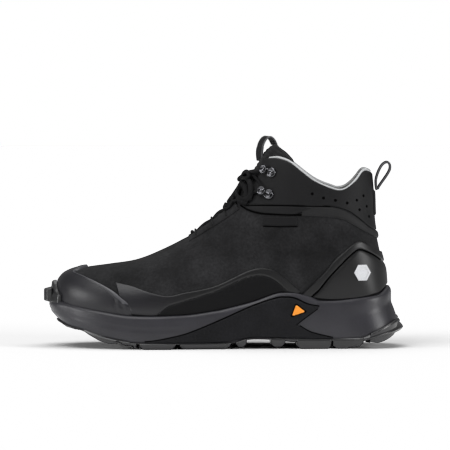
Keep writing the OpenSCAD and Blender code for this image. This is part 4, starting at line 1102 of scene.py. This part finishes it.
def wall_at(x, z, k, side):
    """Place at distance k outside the midsole wall, from the side view."""
    x, z = np.broadcast_arrays(np.asarray(x, float), np.asarray(z, float))
    s, _ = find(x, feather(x))
    t = (feather(x) - z) / (feather(x) - parting(x))
    return beside(s, feather_q(s) * side, wall_k(t, x, flare(x)) + k, z)


def plate_data(low, top, side, lift):
    """Plate on the midsole wall between a lower and an upper edge."""
    u, v = np.meshgrid(spread(200, 0.01), spread(40, 0.06), indexing="ij")
    x, z = (a + v * (b - a) for a, b in zip(along(low, u, 300), along(top, u, 300)))
    r = round_edge(u, v, 0.01, 0.06)
    return shell_data(wall_at(x, z, -0.4 + lift * r, side), wall_at(x, z, -0.8, side), side < 0)


for side, name in ((1, "plate_outer"), (-1, "plate_inner")):
    joined(name, [plate_data(PLATE_LOW, PLATE_TOP, side, 1.9), plate_data(TAIL_LOW, TAIL_TOP, side, 1.8)], PLATE,
           (name,), slot="plate")

# Dark tubes of painted shade in the seams and grooves: path in the side view, height and radius
WALL_SEAM_SHADE = ((PLATE_TOP, 0.35, 0.75), (PLATE_LOW[7:], 0.35, 0.75), (TAIL_TOP[3:], 0.35, 0.75))
UPPER_SEAM_SHADE = ((CUP_LINE[1:-1], 1.15, 0.55),
               ([[14.5, 120.2], [21.7, 116.2], [31, 113.8], [42, 113.0], [59, 112.6], [66, 112.6]], 0.35, 0.7),
               ([[20, 119.6], [31, 120.2], [60, 120.3], [90, 119.8]], 1.0, 0.4),
               ([[33.5, 103.0], [48, 102.6], [62.5, 103.0]], 0.2, 0.4))


def seam(line, side, d, on_wall):
    """Path along a seam of the midsole wall or of the upper, for a dark tube of painted shade."""
    x, z = smooth_line(line, n=160).T
    if on_wall:
        return wall_at(x, z, d, side)
    s, q = find(x, z)
    return at(s, side * q, d)


# The dark tubes along the seams are painted shade
joined("painted_seam_shade", [tube_data(seam(line, side, d, on_wall), r, 8) for side in (1, -1)
                        for on_wall, lines in ((True, WALL_SEAM_SHADE), (False, UPPER_SEAM_SHADE)) for line, d, r in lines],
       DARK_BORDER_AND_SHADE, slot="plate")

INSERT = np.array([[57.3, 27.9], [60.9, 37.5], [68.7, 31.5]])


def triangle(side, grow, k0, k1):
    """Three-cornered insert on the midsole wall with blunt corners, from height k0 to k1."""
    c = INSERT.mean(0)
    tri = c + (INSERT - c) * grow
    path = np.concatenate([np.linspace(tri[i], tri[(i + 1) % 3], 8, endpoint=False) for i in range(3)])
    path = (path + np.roll(path, 1, 0) + np.roll(path, -1, 0)) / 3
    rows = [(c + (path - c) * share, k) for share, k in ((1, k0), (1, k1 - 0.3), (0.93, k1), (0.5, k1), (0.02, k1))]
    v = np.concatenate([wall_at(p[:, 0], p[:, 1], k, side) for p, k in rows])
    return v, list(grid_faces(5, len(path), 0, side < 0, wrap=True))


joined("inserts", [triangle(side, 1.0, 1.0, 2.3) for side in (1, -1)], ORANGE, ("inserts",), slot="insert")
joined("insert_frames", [triangle(side, 1.32, 1.0, 1.9) for side in (1, -1)], DARK_BORDER_AND_SHADE, slot="plate")

# Pieces inside keep their plain shapes
for name, mat in (("lasting_board", BOARD), ("footbed", KNIT), ("collar_padding", FOAMPAD)):
    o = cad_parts[name]
    o.data.materials.clear()
    o.data.materials.append(mat)

# ---------------- light and stage
world = bpy.data.worlds.new("world")
bpy.context.scene.world = world
world.use_nodes = True
wt = world.node_tree
# The camera sees a plain white backdrop, and the boot gets a much weaker light from it
dim = fill(wt.nodes["Background"], Color=(1, 1, 1, 1), Strength=0.22)
white = fill(wt.nodes.new("ShaderNodeBackground"), Color=(1, 1, 1, 1), Strength=1.0)
ray = wt.nodes.new("ShaderNodeLightPath")
mix = wt.nodes.new("ShaderNodeMixShader")
wt.links.new(ray.outputs["Is Camera Ray"], mix.inputs["Fac"])
wt.links.new(dim.outputs["Background"], mix.inputs[1])
wt.links.new(white.outputs["Background"], mix.inputs[2])
wt.links.new(mix.outputs["Shader"], wt.nodes["World Output"].inputs["Surface"])


def area(name, loc, aim, size, power, size_y=None):
    """Rectangular light at loc, turned to aim."""
    d = bpy.data.lights.new(name, "AREA")
    d.energy = power
    d.shape = "RECTANGLE"
    d.size, d.size_y = size, size_y or size
    o = bpy.data.objects.new(name, d)
    bpy.context.collection.objects.link(o)
    o.location = loc
    o.rotation_euler = (Vector(aim) - Vector(loc)).to_track_quat("-Z", "Y").to_euler()


# Places and sizes in metres, power in watts
area("key", (-0.35, -0.5, 0.95), (0, 0, 0.08), 0.7, 8)
area("top", (0.1, 0.1, 1.1), (0, 0, 0.08), 0.9, 8)
area("side", (0.95, -0.62, 0.42), (0.1, 0, 0.07), 0.3, 4)
area("left", (-1.0, -0.4, 0.28), (-0.08, 0, 0.05), 0.35, 4.8, 0.25)
area("strip", (1.3, -0.5, 0.3), (0.1, 0, 0.07), 0.25, 9, 0.8)

floor_me = bpy.data.meshes.new("floor")
floor_me.from_pydata([(-6, -6, 0), (6, -6, 0), (6, 6, 0), (-6, 6, 0)], [], [(0, 1, 2, 3)])
floor = bpy.data.objects.new("floor", floor_me)
bpy.context.collection.objects.link(floor)
floor_me.materials.append(material("floor", (1.0, 1.0, 1.0), 0.9, spec=0.0))
floor.is_shadow_catcher = True

bpy.context.scene.view_settings.view_transform = "Standard"
bpy.context.scene.view_settings.look = "None"
